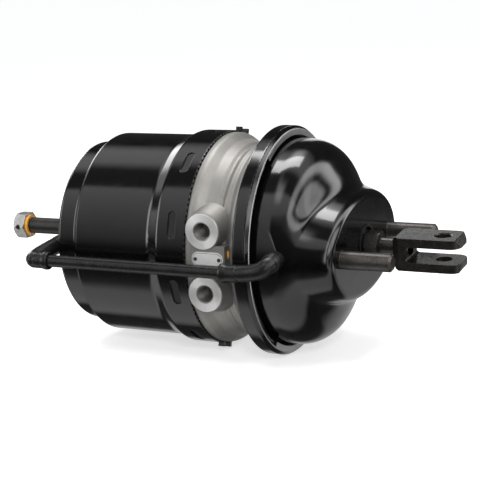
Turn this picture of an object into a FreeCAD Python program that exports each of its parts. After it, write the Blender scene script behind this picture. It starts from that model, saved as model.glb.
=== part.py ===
import FreeCAD, Part
import math
import os
import Sketcher

# Spring brake chamber for a truck axle: a spring section on the left, a cast flange with
# two ports in the middle and a diaphragm section on the right. X runs along the push rod,
# away from the chamber, Z is up, and the origin is the centre of the mounting face.
# Lengths are millimetres and angles are degrees.

SIZES = {
    # Stations along the axis
    "service_depth": 76.75,
    "rim_distance": 55.25,
    "housing_length": 139.0,
    "running_gap": 0.05,
    "free_gap": 0.3,
    # Clamped rims
    "press_wall": 3.0,
    "bead_thick": 2.5,
    "flange_lip": 3.0,
    "rim_radius": 99.5,
    "ring_radius": 105.0,
    "ring_wall": 2.3,
    "ring_foot": 96.5,
    "ring_bevel": 101.5,
    "ring_bevel_inner": 97.6,
    "ring_flank": 5.0,
    "ring_slant": 3.6,
    "lip_bevel": 2.1,
    "ring_window": 116.0,
    "ring_window_top": 101.6,
    "lug_height": 21.0,
    "lug_thick": 8.0,
    "lug_gap": 8.0,
    "clamp_bolt_radius": 4.0,
    "clamp_bolt_flats": 13.0,
    "clamp_bolt_head": 5.3,
    "clamp_nut_height": 6.5,
    # Service housing
    "neck_radius": 94.0,
    "neck_bend": 2.5,
    "oval_start": 0.001,
    "bow_depth": 62.0,
    "bow_half_length": 93.9,
    "bow_half_height": 93.8,
    "neck_depth": 52.0,
    "neck_half_length": 93.6,
    "neck_half_height": 93.2,
    "shoulder_depth": 43.0,
    "shoulder_half_length": 93.2,
    "shoulder_half_height": 90.9,
    "brow_depth": 35.0,
    "brow_half_length": 92.2,
    "brow_half_height": 86.1,
    "slope_depth": 28.0,
    "slope_half_length": 91.1,
    "slope_half_height": 77.9,
    "foot_depth": 21.0,
    "foot_half_length": 89.8,
    "foot_half_height": 66.3,
    "valley_depth": 14.5,
    "valley_half_length": 88.0,
    "valley_half_height": 55.2,
    "lobe_depth": 7.0,
    "lobe_half_length": 85.1,
    "lobe_half_height": 49.0,
    "face_half_length": 81.0,
    "face_half_height": 46.0,
    "face_bend": 4.5,
    # Mounting studs
    "stud_spacing": 120.65,
    "stud_radius": 8.0,
    "stud_length": 46.0,
    "stud_end": 2.0,
    "stud_head_radius": 13.0,
    "stud_head": 6.0,
    "stud_neck_step": 0.3,
    "stud_neck_proud": 0.8,
    "bolt_fit": 0.2,
    # Dust guard in the centre hole
    "guard_radius": 18.0,
    "guard_wall": 1.6,
    "guard_height": 1.2,
    "guard_flange": 26.0,
    "guard_web": 2.5,
    "guard_lip": 0.6,
    # Diaphragm, push plate and push rod
    "diaphragm_wall": 3.0,
    "diaphragm_rest": 19.5,
    "diaphragm_flat": 78.0,
    "diaphragm_side": 84.0,
    "diaphragm_side_back": 10.8,
    "plate_radius": 56.5,
    "plate_wall": 3.5,
    "plate_rim": 5.3,
    "rod_radius": 8.0,
    "rod_reach": 37.0,
    "rod_foot_radius": 14.0,
    "rod_foot": 7.5,
    "nut_flats": 24.0,
    "nut_height": 13.0,
    "nut_reach": 14.0,
    "return_wire": 5.0,
    "return_front": 36.0,
    "return_rear": 47.0,
    "return_turns": 4.75,
    # Clevis
    "clevis_start": 28.0,
    "clevis_tip": 90.0,
    "clevis_width": 32.0,
    "clevis_height": 29.6,
    "clevis_drop": 2.6,
    "clevis_clock": 4.5,
    "clevis_slot": 13.8,
    "clevis_slot_start": 41.5,
    "clevis_slot_bend": 3.0,
    "clevis_pin_x": 71.5,
    "clevis_pin_radius": 7.1,
    "clevis_pin_edge": 1.0,
    "clevis_nose": 10.0,
    "clevis_bevel": 4.0,
    "clevis_bevel_drop": 6.5,
    "clevis_rear": 7.0,
    # Cast flange
    "spigot_length": 26.0,
    "spigot_radius": 95.7,
    "flange_rim": 97.6,
    "flange_rim_width": 6.5,
    "shell_radius": 88.8,
    "valley_radius": 86.0,
    "ridge_radius": 90.5,
    "flange_neck": 93.0,
    "shell_bend": 3.0,
    "spring_cavity": 87.0,
    "web_rear": 9.5,
    "web_thick": 15.0,
    "hub_radius": 30.0,
    "hub_rear": 4.5,
    "hub_front": 21.0,
    "seat_radius": 79.5,
    "seat_mouth": 88.0,
    "o_ring_wire": 3.0,
    "o_ring_back": 4.5,
    "lock_groove_width": 10.0,
    "lock_groove_depth": 2.4,
    # Ports and nameplate
    "port_x": 37.0,
    "port_face": 98.0,
    "port_centre": 1.0,
    "port_spacing": 55.8,
    "port_radius": 16.6,
    "port_bore": 7.3,
    "port_depth": 19.0,
    "port_edge": 1.0,
    "port_drill": 3.0,
    "port_drill_end": 66.0,
    "boss_root": 76.0,
    "boss_taper": 14.0,
    "plate_pad_face": 96.4,
    "plate_pad_half": 12.0,
    "plate_pad_start": 1.5,
    "plate_pad_end": 38.5,
    "nameplate_length": 30.0,
    "nameplate_height": 12.5,
    "nameplate_thick": 1.0,
    "nameplate_z": 2.4,
    "nameplate_x": 22.0,
    "rivet_radius": 1.6,
    "rivet_inset": 3.6,
    "rivet_head": 0.8,
    # Spring housing
    "barrel_radius": 94.7,
    "barrel_wall": 3.4,
    "end_radius": 86.0,
    "end_bend": 3.5,
    "end_length": 20.0,
    "end_step": 4.0,
    "bell_radius": 99.4,
    "bell_length": 27.5,
    "bell_step": 11.0,
    "slot_count": 10,
    "slot_angle": 18.0,
    "slot_back": 13.0,
    "slot_length": 24.6,
    "slot_width": 8.0,
    "slot_depth": 1.6,
    "nub_height": 3.4,
    "nub_width": 3.0,
    "nub_length": 5.5,
    "nub_spread": 8.0,
    "nub_lean": 17.0,
    "nub_overhang": 2.2,
    # Spring piston and power spring
    "piston_back": 31.0,
    "piston_rim_width": 15.0,
    "piston_gap": 0.6,
    "piston_rim_inner": 78.0,
    "piston_web_left": 11.0,
    "piston_web": 8.0,
    "piston_hub": 26.0,
    "piston_hub_length": 26.0,
    "piston_shoulder": 16.0,
    "seal_width": 4.5,
    "seal_depth": 4.0,
    "guide_width": 3.5,
    "guide_depth": 2.5,
    "power_wire": 12.0,
    "power_rear": 74.0,
    "power_turns": 3.0,
    "power_growth": 9.0,
    # Piston tube
    "tube_radius": 17.5,
    "tube_wall": 3.5,
    "cap_plug": 7.0,
    "cap_head": 4.4,
    "bush_wall": 3.5,
    "rod_seal_width": 4.0,
    "rod_seal_depth": 6.5,
    "retainer_width": 2.0,
    # Release bolt, wound out
    "bolt_radius": 8.0,
    "bolt_reach": 88.0,
    "bolt_head": 15.8,
    "bolt_crown": 7.6,
    "bolt_dome": 6.0,
    "bolt_flats": 24.0,
    "bolt_pin_radius": 2.5,
    "bolt_pin_out": 9.3,
    "bolt_washer_radius": 10.3,
    "bolt_washer": 2.2,
    "bolt_end_radius": 12.5,
    "bolt_end": 7.0,
    "thrust_washer": 3.0,
    "boss_radius": 17.0,
    "boss_length": 15.5,
    "boss_spigot": 13.0,
    # Breather tube and elbows
    "breather_y": 113.0,
    "breather_z": 4.3,
    "breather_radius": 5.5,
    "breather_wall": 2.0,
    "breather_inset": 2.0,
    "breather_front": 83.0,
    "elbow_radius": 7.0,
    "elbow_bore": 3.5,
    "elbow_socket": 7.0,
    "elbow_collar": 7.8,
    "elbow_collar_width": 8.0,
    "elbow_foot": 9.5,
    "elbow_foot_width": 3.0,
    "elbow_bend": 15.0,
    "rear_elbow_reach": 7.8,
    "rear_elbow_bend": 7.5,
    "rear_elbow_y": 60.0,
    "rear_elbow_rise": 5.0,
    "front_elbow_x": 47.0,
    "front_elbow_rise": 9.0,
    "front_elbow_end": 88.5,
}

doc = FreeCAD.newDocument("spring_brake_chamber")
sheet = doc.addObject("Spreadsheet::Sheet", "Sizes")
for row, (alias, number) in enumerate(SIZES.items(), start=1):
    sheet.set(f"A{row}", alias)
    sheet.set(f"B{row}", str(number))
    sheet.setAlias(f"B{row}", alias)
doc.recompute()


class Size:
    """A length or an angle that knows its number and the expression that gives it."""

    def __init__(self, number, text):
        self.number = float(number)
        self.text = text

    def __add__(self, other):
        other = as_size(other)
        return Size(self.number + other.number, f"({self.text} + {other.text})")

    def __sub__(self, other):
        other = as_size(other)
        return Size(self.number - other.number, f"({self.text} - {other.text})")

    def __mul__(self, other):
        other = as_size(other)
        return Size(self.number * other.number, f"({self.text} * {other.text})")

    def __truediv__(self, other):
        other = as_size(other)
        return Size(self.number / other.number, f"({self.text} / {other.text})")

    def __neg__(self):
        return Size(-self.number, f"(0 - {self.text})")

    def __float__(self):
        return self.number


def as_size(value):
    if isinstance(value, Size):
        return value
    return Size(value, f"({value})" if value < 0 else str(value))


def tan(angle):
    return Size(math.tan(math.radians(angle.number)), f"tan({angle.text})")


def sin(angle):
    return Size(math.sin(math.radians(angle.number)), f"sin({angle.text})")


def cos(angle):
    return Size(math.cos(math.radians(angle.number)), f"cos({angle.text})")


def root(value):
    return Size(math.sqrt(value.number), f"sqrt({value.text})")


class Named:
    """The cells of the sheet by their names."""

    def __getattr__(self, alias):
        return Size(sheet.get(alias), f"Sizes.{alias}")


d = Named()
ZERO = as_size(0)


# Tools for bodies, sketches and features

def bind(thing, path, size):
    thing.setExpression(path, as_size(size).text)


def new_body(label):
    body = doc.addObject("PartDesign::Body", label)
    body.Label = label
    return body


def origin_feature(body, role):
    for feature in body.Origin.OriginFeatures:
        if feature.Role == role:
            return feature
    raise RuntimeError(role)


def new_sketch(body, role="XZ_Plane", offset=None):
    """A sketch on one of the body's own planes, moved along the plane's normal."""
    sketch = body.newObject("Sketcher::SketchObject", f"{body.Name}_sketch")
    sketch.AttachmentSupport = (origin_feature(body, role), "")
    sketch.MapMode = "FlatFace"
    if offset is not None:
        bind(sketch, "AttachmentOffset.Base.z", offset)
    doc.recompute()
    return sketch


def facing_sketch(body, angle, distance):
    """A sketch square to a radius, at an angle from -Y towards +Z, this far from the axis."""
    sketch = new_sketch(body)
    sketch.AttachmentOffset = FreeCAD.Placement(
        FreeCAD.Vector(0, 0, float(distance)), FreeCAD.Rotation(FreeCAD.Vector(1, 0, 0), 10)
    )
    bind(sketch, "AttachmentOffset.Base.y", as_size(distance) * sin(as_size(angle)))
    bind(sketch, "AttachmentOffset.Base.z", as_size(distance) * cos(as_size(angle)))
    bind(sketch, "AttachmentOffset.Rotation.Angle", -as_size(angle))
    doc.recompute()
    return sketch


def fix_point(sketch, geometry, point, x, y):
    """Holds a point of the sketch at x and y."""
    for kind, size in (("DistanceX", x), ("DistanceY", y)):
        index = sketch.addConstraint(
            Sketcher.Constraint(kind, -1, 1, geometry, point, float(size))
        )
        sketch.setExpression(f"Constraints[{index}]", as_size(size).text)


def draw_outline(sketch, corners):
    """A closed outline through the corners. A corner with a third value is rounded to it."""
    points = [FreeCAD.Vector(float(c[0]), float(c[1]), 0) for c in corners]
    count = len(points)
    starts = list(points)
    ends = list(points)
    arcs = {}
    for i, corner in enumerate(corners):
        if len(corner) < 3:
            continue
        radius = float(corner[2])
        before = (points[i - 1] - points[i]).normalize()
        after = (points[(i + 1) % count] - points[i]).normalize()
        half = before.getAngle(after) / 2
        middle = points[i] + (before + after).normalize() * (radius / math.sin(half))
        ends[i] = points[i] + before * (radius / math.tan(half))
        starts[i] = points[i] + after * (radius / math.tan(half))
        arcs[i] = (middle, radius, before.cross(after).z < 0)
    lines = []
    for i in range(count):
        segment = Part.LineSegment(starts[i], ends[(i + 1) % count])
        lines.append(sketch.addGeometry(segment, False))
    for i, corner in enumerate(corners):
        if i not in arcs:
            sketch.addConstraint(Sketcher.Constraint("Coincident", lines[i - 1], 2, lines[i], 1))
            fix_point(sketch, lines[i], 1, corner[0], corner[1])
            continue
        middle, radius, turns_left = arcs[i]
        first, last = (ends[i], starts[i]) if turns_left else (starts[i], ends[i])
        first_angle = math.atan2(first.y - middle.y, first.x - middle.x)
        last_angle = math.atan2(last.y - middle.y, last.x - middle.x)
        circle = Part.Circle(middle, FreeCAD.Vector(0, 0, 1), radius)
        arc = sketch.addGeometry(Part.ArcOfCircle(circle, first_angle, last_angle), False)
        peak = sketch.addGeometry(Part.Point(points[i]), True)
        line_end, line_start = (1, 2) if turns_left else (2, 1)
        sketch.addConstraint(
            [
                Sketcher.Constraint("Tangent", lines[i - 1], 2, arc, line_end),
                Sketcher.Constraint("Tangent", arc, line_start, lines[i], 1),
                Sketcher.Constraint("PointOnObject", peak, 1, lines[i - 1]),
                Sketcher.Constraint("PointOnObject", peak, 1, lines[i]),
            ]
        )
        fix_point(sketch, peak, 1, corner[0], corner[1])
        index = sketch.addConstraint(Sketcher.Constraint("Radius", arc, radius))
        sketch.setExpression(f"Constraints[{index}]", as_size(corner[2]).text)


def draw_circle(sketch, x, y, radius):
    centre = FreeCAD.Vector(float(x), float(y), 0)
    circle = Part.Circle(centre, FreeCAD.Vector(0, 0, 1), float(radius))
    index = sketch.addGeometry(circle, False)
    fix_point(sketch, index, 3, x, y)
    number = sketch.addConstraint(Sketcher.Constraint("Radius", index, float(radius)))
    sketch.setExpression(f"Constraints[{number}]", as_size(radius).text)


def draw_ellipse(sketch, half_length, half_height):
    """An ellipse about the origin, long along the sketch's X."""
    ends = (
        FreeCAD.Vector(float(half_length), 0, 0),
        FreeCAD.Vector(0, float(half_height), 0),
        FreeCAD.Vector(0, 0, 0),
    )
    oval = sketch.addGeometry(Part.Ellipse(*ends), False)
    sketch.exposeInternalGeometry(oval)
    sketch.addConstraint(Sketcher.Constraint("Coincident", oval, 3, -1, 1))
    major, minor = oval + 1, oval + 2
    sketch.addConstraint(Sketcher.Constraint("Horizontal", major))
    for line, reach in ((major, half_length), (minor, half_height)):
        index = sketch.addConstraint(Sketcher.Constraint("Distance", line, float(reach) * 2))
        sketch.setExpression(f"Constraints[{index}]", (as_size(reach) * 2).text)


def box_corners(x_low, x_high, y_low, y_high):
    return [(x_low, y_low), (x_high, y_low), (x_high, y_high), (x_low, y_high)]


# A slot's end is rounded by just under half its width, so that a short straight stays

SLOT_ROUNDING = 0.498


def slot_corners(x, y, length, width, rounding=SLOT_ROUNDING):
    """A slot with round ends, long along the sketch's X, as a rounded box."""
    bend = as_size(width) * rounding
    low_x, high_x = x - length / 2, x + length / 2
    low_y, high_y = y - width / 2, y + width / 2
    return [
        (low_x, low_y, bend),
        (high_x, low_y, bend),
        (high_x, high_y, bend),
        (low_x, high_y, bend),
    ]


def hexagon_corners(flats):
    """Six corners about the origin, with two flats facing up and down."""
    radius = as_size(flats) / root(as_size(3))
    turns = (0, 60, 120, 180, 240, 300)
    return [(radius * cos(as_size(t)), radius * sin(as_size(t))) for t in turns]


def feature(body, kind, sketch, label):
    made = body.newObject(f"PartDesign::{kind}", f"{body.Name}_{label}")
    made.Profile = sketch
    return made


def revolve(body, corners, kind="Revolution", label="turned", angle=None, role="XZ_Plane"):
    """Turns an outline of (x, radius) corners about the axis."""
    sketch = new_sketch(body, role)
    draw_outline(sketch, corners)
    made = feature(body, kind, sketch, label)
    made.ReferenceAxis = (sketch, ["H_Axis"])
    if angle is not None:
        made.Midplane = True
        bind(made, "Angle", angle)
    doc.recompute()
    return made


def turned(label, corners):
    body = new_body(label)
    revolve(body, corners)
    return body


def ring(label, x_low, x_high, inner, outer):
    return turned(label, box_corners(x_low, x_high, inner, outer))


def extrude(body, kind, sketch, length, label, reverse=False):
    made = feature(body, kind, sketch, label)
    bind(made, "Length", length)
    made.Reversed = reverse
    doc.recompute()
    return made


def loft(body, kind, sketches, label, ruled=True):
    made = feature(body, kind, sketches[0], label)
    made.Sections = [(sketch, [""]) for sketch in sketches[1:]]
    made.Ruled = ruled
    doc.recompute()
    return made


def edges_where(shape, test):
    return [f"Edge{i}" for i, edge in enumerate(shape.Edges, start=1) if test(edge)]


def dress(body, kind, base, edges, size, label):
    """A fillet or a chamfer on some edges of the last feature."""
    made = body.newObject(f"PartDesign::{kind}", f"{body.Name}_{label}")
    made.Base = (base, edges)
    bind(made, "Radius" if kind == "Fillet" else "Size", size)
    doc.recompute()
    return made


def coil(label, x, radius, wire, turns, height, growth):
    """A round wire wound about the axis from x towards -X, wider by growth at each turn."""
    body = new_body(label)
    sketch = new_sketch(body)
    draw_circle(sketch, x, radius, wire / 2)
    helix = feature(body, "AdditiveHelix", sketch, "wire")
    helix.ReferenceAxis = (sketch, ["H_Axis"])
    helix.Mode = "height-turns-growth"
    bind(helix, "Height", height)
    bind(helix, "Turns", turns)
    bind(helix, "Growth", growth)
    helix.Reversed = True
    doc.recompute()
    return body


# Stations along the axis, worked out from the mounting face at zero

clamp_x = -d.service_depth
bead_left = clamp_x - d.bead_thick / 2
bead_right = clamp_x + d.bead_thick / 2
press_lip_right = bead_right + d.press_wall
cast_lip_left = bead_left - d.flange_lip
rim_x = clamp_x - d.rim_distance
end_x = rim_x - d.housing_length
end_inside = end_x + d.barrel_wall
barrel_inside = d.barrel_radius - d.barrel_wall


# Diaphragm section

def make_service_housing():
    """Pressed shell, drawn from the round rim through a shoulder to the flat oval face."""
    body = new_body("service_housing")
    revolve(
        body,
        [
            (bead_right, ZERO),
            (bead_right, d.rim_radius),
            (press_lip_right - d.lip_bevel, d.rim_radius),
            (press_lip_right, d.rim_radius - d.lip_bevel),
            (press_lip_right, ZERO),
        ],
    )
    sketches = []
    for depth, half_length, half_height in form_sections():
        sketch = new_sketch(body, "YZ_Plane", -depth)
        draw_ellipse(sketch, half_length, half_height)
        sketches.append(sketch)
    form = loft(body, "AdditiveLoft", sketches, "form", False)
    front = edges_where(form.Shape, lambda e: e.BoundBox.XMin > -0.01)
    rounded = dress(body, "Fillet", form, front, d.face_bend, "face_edge")
    lip_face = press_lip_right.number
    corner = edges_where(
        rounded.Shape,
        lambda e: abs(e.BoundBox.XMin - lip_face) < 0.05
        and abs(e.BoundBox.XMax - lip_face) < 0.05
        and e.BoundBox.YMax < d.neck_radius.number + 1,
    )
    dress(body, "Fillet", rounded, corner, d.neck_bend, "lip_corner")
    # Inner form, one wall further in than the outer one
    sketches = []
    for depth, half_length, half_height in inner_sections():
        sketch = new_sketch(body, "YZ_Plane", -depth)
        draw_ellipse(sketch, half_length, half_height)
        sketches.append(sketch)
    loft(body, "SubtractiveLoft", sketches, "hollow", False)
    holes = new_sketch(body, "YZ_Plane")
    draw_circle(holes, ZERO, ZERO, d.guard_radius + d.running_gap)
    for side in (-1, 1):
        draw_circle(holes, d.stud_spacing / 2 * side, ZERO, stud_neck + d.running_gap)
    extrude(body, "Pocket", holes, d.press_wall * 2, "holes")
    # Breather hole, where the front elbow enters the wall
    vent = new_sketch(body, "XZ_Plane", d.neck_radius + d.press_wall)
    draw_circle(vent, -d.front_elbow_x, front_elbow_z, d.elbow_radius + d.running_gap)
    extrude(body, "Pocket", vent, d.press_wall * 4, "vent")
    return body


stud_neck = d.stud_radius + d.stud_neck_step


def form_sections():
    """Ovals of the pressed form from rim to face: depth, half length along Y, half height."""
    return [
        (-press_lip_right, d.neck_radius, d.neck_radius - d.oval_start),
        (d.bow_depth, d.bow_half_length, d.bow_half_height),
        (d.neck_depth, d.neck_half_length, d.neck_half_height),
        (d.shoulder_depth, d.shoulder_half_length, d.shoulder_half_height),
        (d.brow_depth, d.brow_half_length, d.brow_half_height),
        (d.slope_depth, d.slope_half_length, d.slope_half_height),
        (d.foot_depth, d.foot_half_length, d.foot_half_height),
        (d.valley_depth, d.valley_half_length, d.valley_half_height),
        (d.lobe_depth, d.lobe_half_length, d.lobe_half_height),
        (ZERO, d.face_half_length, d.face_half_height),
    ]


def inner_sections():
    """The same ovals one wall further in, square to the sloping surface."""
    outer = form_sections()
    wall = d.press_wall
    mouth = d.neck_radius - wall
    wide = mouth + d.free_gap
    inner = [(-bead_right, wide, wide - d.oval_start), (-press_lip_right, mouth, mouth - d.oval_start)]
    for before, here, after in zip(outer, outer[1:], outer[2:]):
        sizes = [here[0]]
        for axis in (1, 2):
            slope = (before[axis] - after[axis]) / (before[0] - after[0])
            sizes.append(here[axis] - wall * root(slope * slope + 1))
        inner.append(tuple(sizes))
    inner.append((wall, d.face_half_length - wall, d.face_half_height - wall))
    return inner


front_elbow_z = d.front_elbow_rise - d.breather_z


def make_studs():
    """Two studs with round heads inside the housing, as one group."""
    body = new_body("mounting_studs")
    head_x = -d.press_wall
    for side in (-1, 1):
        sketch = new_sketch(body, "YZ_Plane", head_x)
        draw_circle(sketch, d.stud_spacing / 2 * side, ZERO, d.stud_head_radius)
        extrude(body, "Pad", sketch, d.stud_head, f"head_{side + 1}", True)
        neck = new_sketch(body, "YZ_Plane", head_x)
        draw_circle(neck, d.stud_spacing / 2 * side, ZERO, stud_neck)
        extrude(body, "Pad", neck, d.press_wall + d.stud_neck_proud, f"neck_{side + 1}")
        shank = new_sketch(body, "YZ_Plane", d.stud_neck_proud)
        draw_circle(shank, d.stud_spacing / 2 * side, ZERO, d.stud_radius)
        extrude(body, "Pad", shank, d.stud_length - d.stud_neck_proud, f"shank_{side + 1}")
    tip_edges = edges_where(
        body.Shape, lambda e: e.BoundBox.XMin > float(d.stud_length) - 0.01
    )
    dress(body, "Chamfer", body.Tip, tip_edges, d.stud_end, "tips")
    return body


def make_dust_guard():
    """Rubber collar that lines the centre hole and wipes the push rod."""
    back = -d.press_wall - d.guard_web
    web = back + d.guard_web + d.free_gap
    inner = d.guard_radius - d.guard_wall
    return turned(
        "dust_guard",
        [
            (back, d.rod_radius + d.guard_lip),
            (back, d.guard_flange),
            (-d.press_wall, d.guard_flange),
            (-d.press_wall, d.guard_radius),
            (d.guard_height, d.guard_radius),
            (d.guard_height, inner),
            (web, inner),
            (web, d.rod_radius + d.guard_lip),
        ],
    )


diaphragm_left = clamp_x - d.diaphragm_rest
diaphragm_right = diaphragm_left + d.diaphragm_wall
plate_left = diaphragm_right + d.free_gap
plate_right = plate_left + d.plate_wall


def make_diaphragm():
    side_x = clamp_x - d.diaphragm_side_back
    wall = d.diaphragm_wall
    return turned(
        "diaphragm",
        [
            (bead_left, d.rim_radius),
            (bead_left, d.seat_mouth - d.free_gap * 2),
            (side_x, d.diaphragm_side, wall),
            (diaphragm_left, d.diaphragm_flat, wall),
            (diaphragm_left, ZERO),
            (diaphragm_right, ZERO),
            (diaphragm_right, d.diaphragm_flat - wall),
            (side_x + wall, d.diaphragm_side - wall),
            (bead_right, d.seat_mouth - wall),
            (bead_right, d.rim_radius),
        ],
    )


def make_push_plate():
    rim = plate_right + d.plate_rim
    inside = d.plate_radius - d.plate_wall
    return turned(
        "push_plate",
        [
            (plate_left, ZERO),
            (plate_left, inside, d.plate_wall),
            (rim - d.plate_wall / 2, d.plate_radius),
            (rim, d.plate_radius - d.plate_wall / 2),
            (plate_right, inside - d.plate_wall / 2),
            (plate_right, ZERO),
        ],
    )


def make_push_rod():
    foot = plate_right + d.rod_foot
    cone = d.rod_foot_radius - d.rod_radius
    return turned(
        "push_rod",
        [
            (plate_right, ZERO),
            (plate_right, d.rod_foot_radius),
            (foot - cone, d.rod_foot_radius),
            (foot, d.rod_radius),
            (d.rod_reach - d.stud_end, d.rod_radius),
            (d.rod_reach, d.rod_radius - d.stud_end),
            (d.rod_reach, ZERO),
        ],
    )


def hexagon_piece(label, x, flats, height, bore):
    """A hexagon along the axis with chamfered corners and a bore."""
    body = new_body(label)
    sketch = new_sketch(body, "YZ_Plane", x)
    draw_outline(sketch, hexagon_corners(flats))
    extrude(body, "Pad", sketch, height, "hexagon")
    corner = flats / root(as_size(3))
    slack = corner - flats / 2
    start, stop = x, x + height
    for first, second in ((start, start + slack), (stop, stop - slack)):
        revolve(
            body,
            [(first, flats / 2), (second, corner + slack), (first, corner + slack)],
            "Groove",
            "corner",
        )
    if bore is not None:
        hole = new_sketch(body, "YZ_Plane", x)
        draw_circle(hole, ZERO, ZERO, bore)
        extrude(body, "Pocket", hole, height, "bore", True)
    return body


def make_clevis():
    """Forged fork with a horizontal slot, bevelled tips and one pin hole through both ears."""
    body = new_body("clevis")
    half = d.clevis_width / 2
    bottom = -d.clevis_height / 2 - d.clevis_drop
    outline = new_sketch(body, "XY_Plane", bottom)
    draw_outline(
        outline,
        [
            (d.clevis_start, -half + d.clevis_rear),
            (d.clevis_start + d.clevis_rear, -half),
            (d.clevis_tip, -half, d.clevis_nose),
            (d.clevis_tip, half, d.clevis_nose),
            (d.clevis_start + d.clevis_rear, half),
            (d.clevis_start, half - d.clevis_rear),
        ],
    )
    block = extrude(body, "Pad", outline, d.clevis_height, "block")
    rear = edges_where(
        block.Shape,
        lambda e: e.BoundBox.XMax < float(d.clevis_start) + 0.01 and e.BoundBox.ZLength < 0.01,
    )
    dress(body, "Chamfer", block, rear, d.clevis_rear / 2, "rear")
    slot = new_sketch(body, "XZ_Plane", half + 1)
    slot_low = -d.clevis_slot / 2 - d.clevis_drop
    slot_high = d.clevis_slot / 2 - d.clevis_drop
    draw_outline(
        slot,
        [
            (d.clevis_slot_start, slot_low, d.clevis_slot_bend),
            (d.clevis_tip + 1, slot_low),
            (d.clevis_tip + 1, slot_high),
            (d.clevis_slot_start, slot_high, d.clevis_slot_bend),
        ],
    )
    extrude(body, "Pocket", slot, d.clevis_width + 2, "slot")
    # The upper ear's end leans back, the lower one's a little
    top = d.clevis_height / 2 - d.clevis_drop
    for level, lean, drop in (
        (top, d.clevis_bevel, -d.clevis_bevel_drop),
        (bottom, d.clevis_bevel / 2, d.clevis_bevel_drop / 2),
    ):
        bevel = new_sketch(body, "XZ_Plane", half + 1)
        draw_outline(
            bevel,
            [
                (d.clevis_tip - lean, level),
                (d.clevis_tip, level + drop),
                (d.clevis_tip + lean, level + drop),
                (d.clevis_tip + lean, level - drop),
                (d.clevis_tip - lean, level - drop),
            ],
        )
        extrude(body, "Pocket", bevel, d.clevis_width + 2, "bevel")
    pin = new_sketch(body, "XY_Plane", bottom)
    draw_circle(pin, d.clevis_pin_x, ZERO, d.clevis_pin_radius)
    drilled = extrude(body, "Pocket", pin, d.clevis_height, "pin_hole", True)
    mouths = edges_where(
        drilled.Shape,
        lambda e: e.Curve.TypeId == "Part::GeomCircle"
        and abs(e.Curve.Radius - float(d.clevis_pin_radius)) < 0.01
        and (e.BoundBox.ZMin > float(top) - 0.01 or e.BoundBox.ZMax < float(bottom) + 0.01),
    )
    dress(body, "Chamfer", drilled, mouths, d.clevis_pin_edge, "pin_edges")
    bore = new_sketch(body, "YZ_Plane", d.clevis_start)
    draw_circle(bore, ZERO, ZERO, d.rod_radius + d.running_gap)
    extrude(body, "Pocket", bore, d.clevis_slot_start - d.clevis_start, "bore", True)
    body.Placement = FreeCAD.Placement(
        FreeCAD.Vector(0, 0, 0), FreeCAD.Rotation(FreeCAD.Vector(1, 0, 0), 1)
    )
    bind(body, "Placement.Rotation.Angle", d.clevis_clock)
    return body


def make_return_spring():
    """Light conical spring between the push plate and the front of the housing."""
    front = -d.press_wall - d.return_wire / 2 - d.free_gap
    rear = plate_right + d.return_wire / 2 + d.free_gap
    growth = (d.return_rear - d.return_front) / d.return_turns
    return coil(
        "return_spring", front, d.return_front, d.return_wire, d.return_turns, front - rear, growth
    )


def make_clamp_ring():
    """Rolled channel over both rims, split at the back, with a window in its front flank."""
    body = new_body("clamp_ring")
    left = cast_lip_left - d.ring_wall
    right = press_lip_right + d.ring_flank
    inner = d.ring_radius - d.ring_wall
    revolve(
        body,
        [
            (left, d.ring_foot),
            (left, d.ring_radius, d.ring_wall),
            (right - d.ring_slant, d.ring_radius, d.ring_wall),
            (right, d.ring_bevel),
            (right, d.ring_foot),
            (press_lip_right, d.ring_foot),
            (press_lip_right, d.ring_bevel_inner),
            (press_lip_right - (inner - d.ring_bevel_inner), inner),
            (cast_lip_left, inner),
            (cast_lip_left, d.ring_foot),
        ],
    )
    window = [
        (press_lip_right + d.free_gap, -d.ring_window_top),
        (press_lip_right + d.free_gap, -d.ring_foot + 1),
        (right + 1, -d.ring_foot + 1),
        (right + 1, -d.ring_window_top),
    ]
    revolve(body, window, "Groove", "window", d.ring_window, "XY_Plane")
    half_gap = d.lug_gap / 2
    for side, name in ((1, "upper"), (-1, "lower")):
        lug = new_sketch(body, "XY_Plane", half_gap * side)
        draw_outline(
            lug,
            box_corners(left, right, inner + d.ring_wall / 3, d.ring_radius + d.lug_height),
        )
        extrude(body, "Pad", lug, d.lug_thick, f"{name}_lug", side < 0)
    split = new_sketch(body, "XY_Plane", -half_gap)
    draw_outline(
        split,
        box_corners(left - 1, right + 1, d.ring_foot - 2, d.ring_radius + d.lug_height + 1),
    )
    extrude(body, "Pocket", split, d.lug_gap, "split", True)
    hole = new_sketch(body, "XY_Plane", -half_gap - d.lug_thick)
    draw_circle(hole, clamp_bolt_x, clamp_bolt_y, d.clamp_bolt_radius + d.bolt_fit)
    extrude(body, "Pocket", hole, d.lug_gap + d.lug_thick * 2, "bolt_hole", True)
    return body


clamp_bolt_x = (cast_lip_left + press_lip_right) / 2
clamp_bolt_y = d.ring_radius + d.lug_height / 2


def shifted(corners, x, y):
    return [(corner[0] + x, corner[1] + y) for corner in corners]


def make_clamp_bolt():
    body = new_body("clamp_bolt")
    top = d.lug_gap / 2 + d.lug_thick
    head = new_sketch(body, "XY_Plane", top)
    draw_outline(head, shifted(hexagon_corners(d.clamp_bolt_flats), clamp_bolt_x, clamp_bolt_y))
    extrude(body, "Pad", head, d.clamp_bolt_head, "head")
    shank = new_sketch(body, "XY_Plane", top)
    draw_circle(shank, clamp_bolt_x, clamp_bolt_y, d.clamp_bolt_radius)
    extrude(body, "Pad", shank, top * 2 + d.clamp_nut_height * 1.5, "shank", True)
    return body


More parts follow.
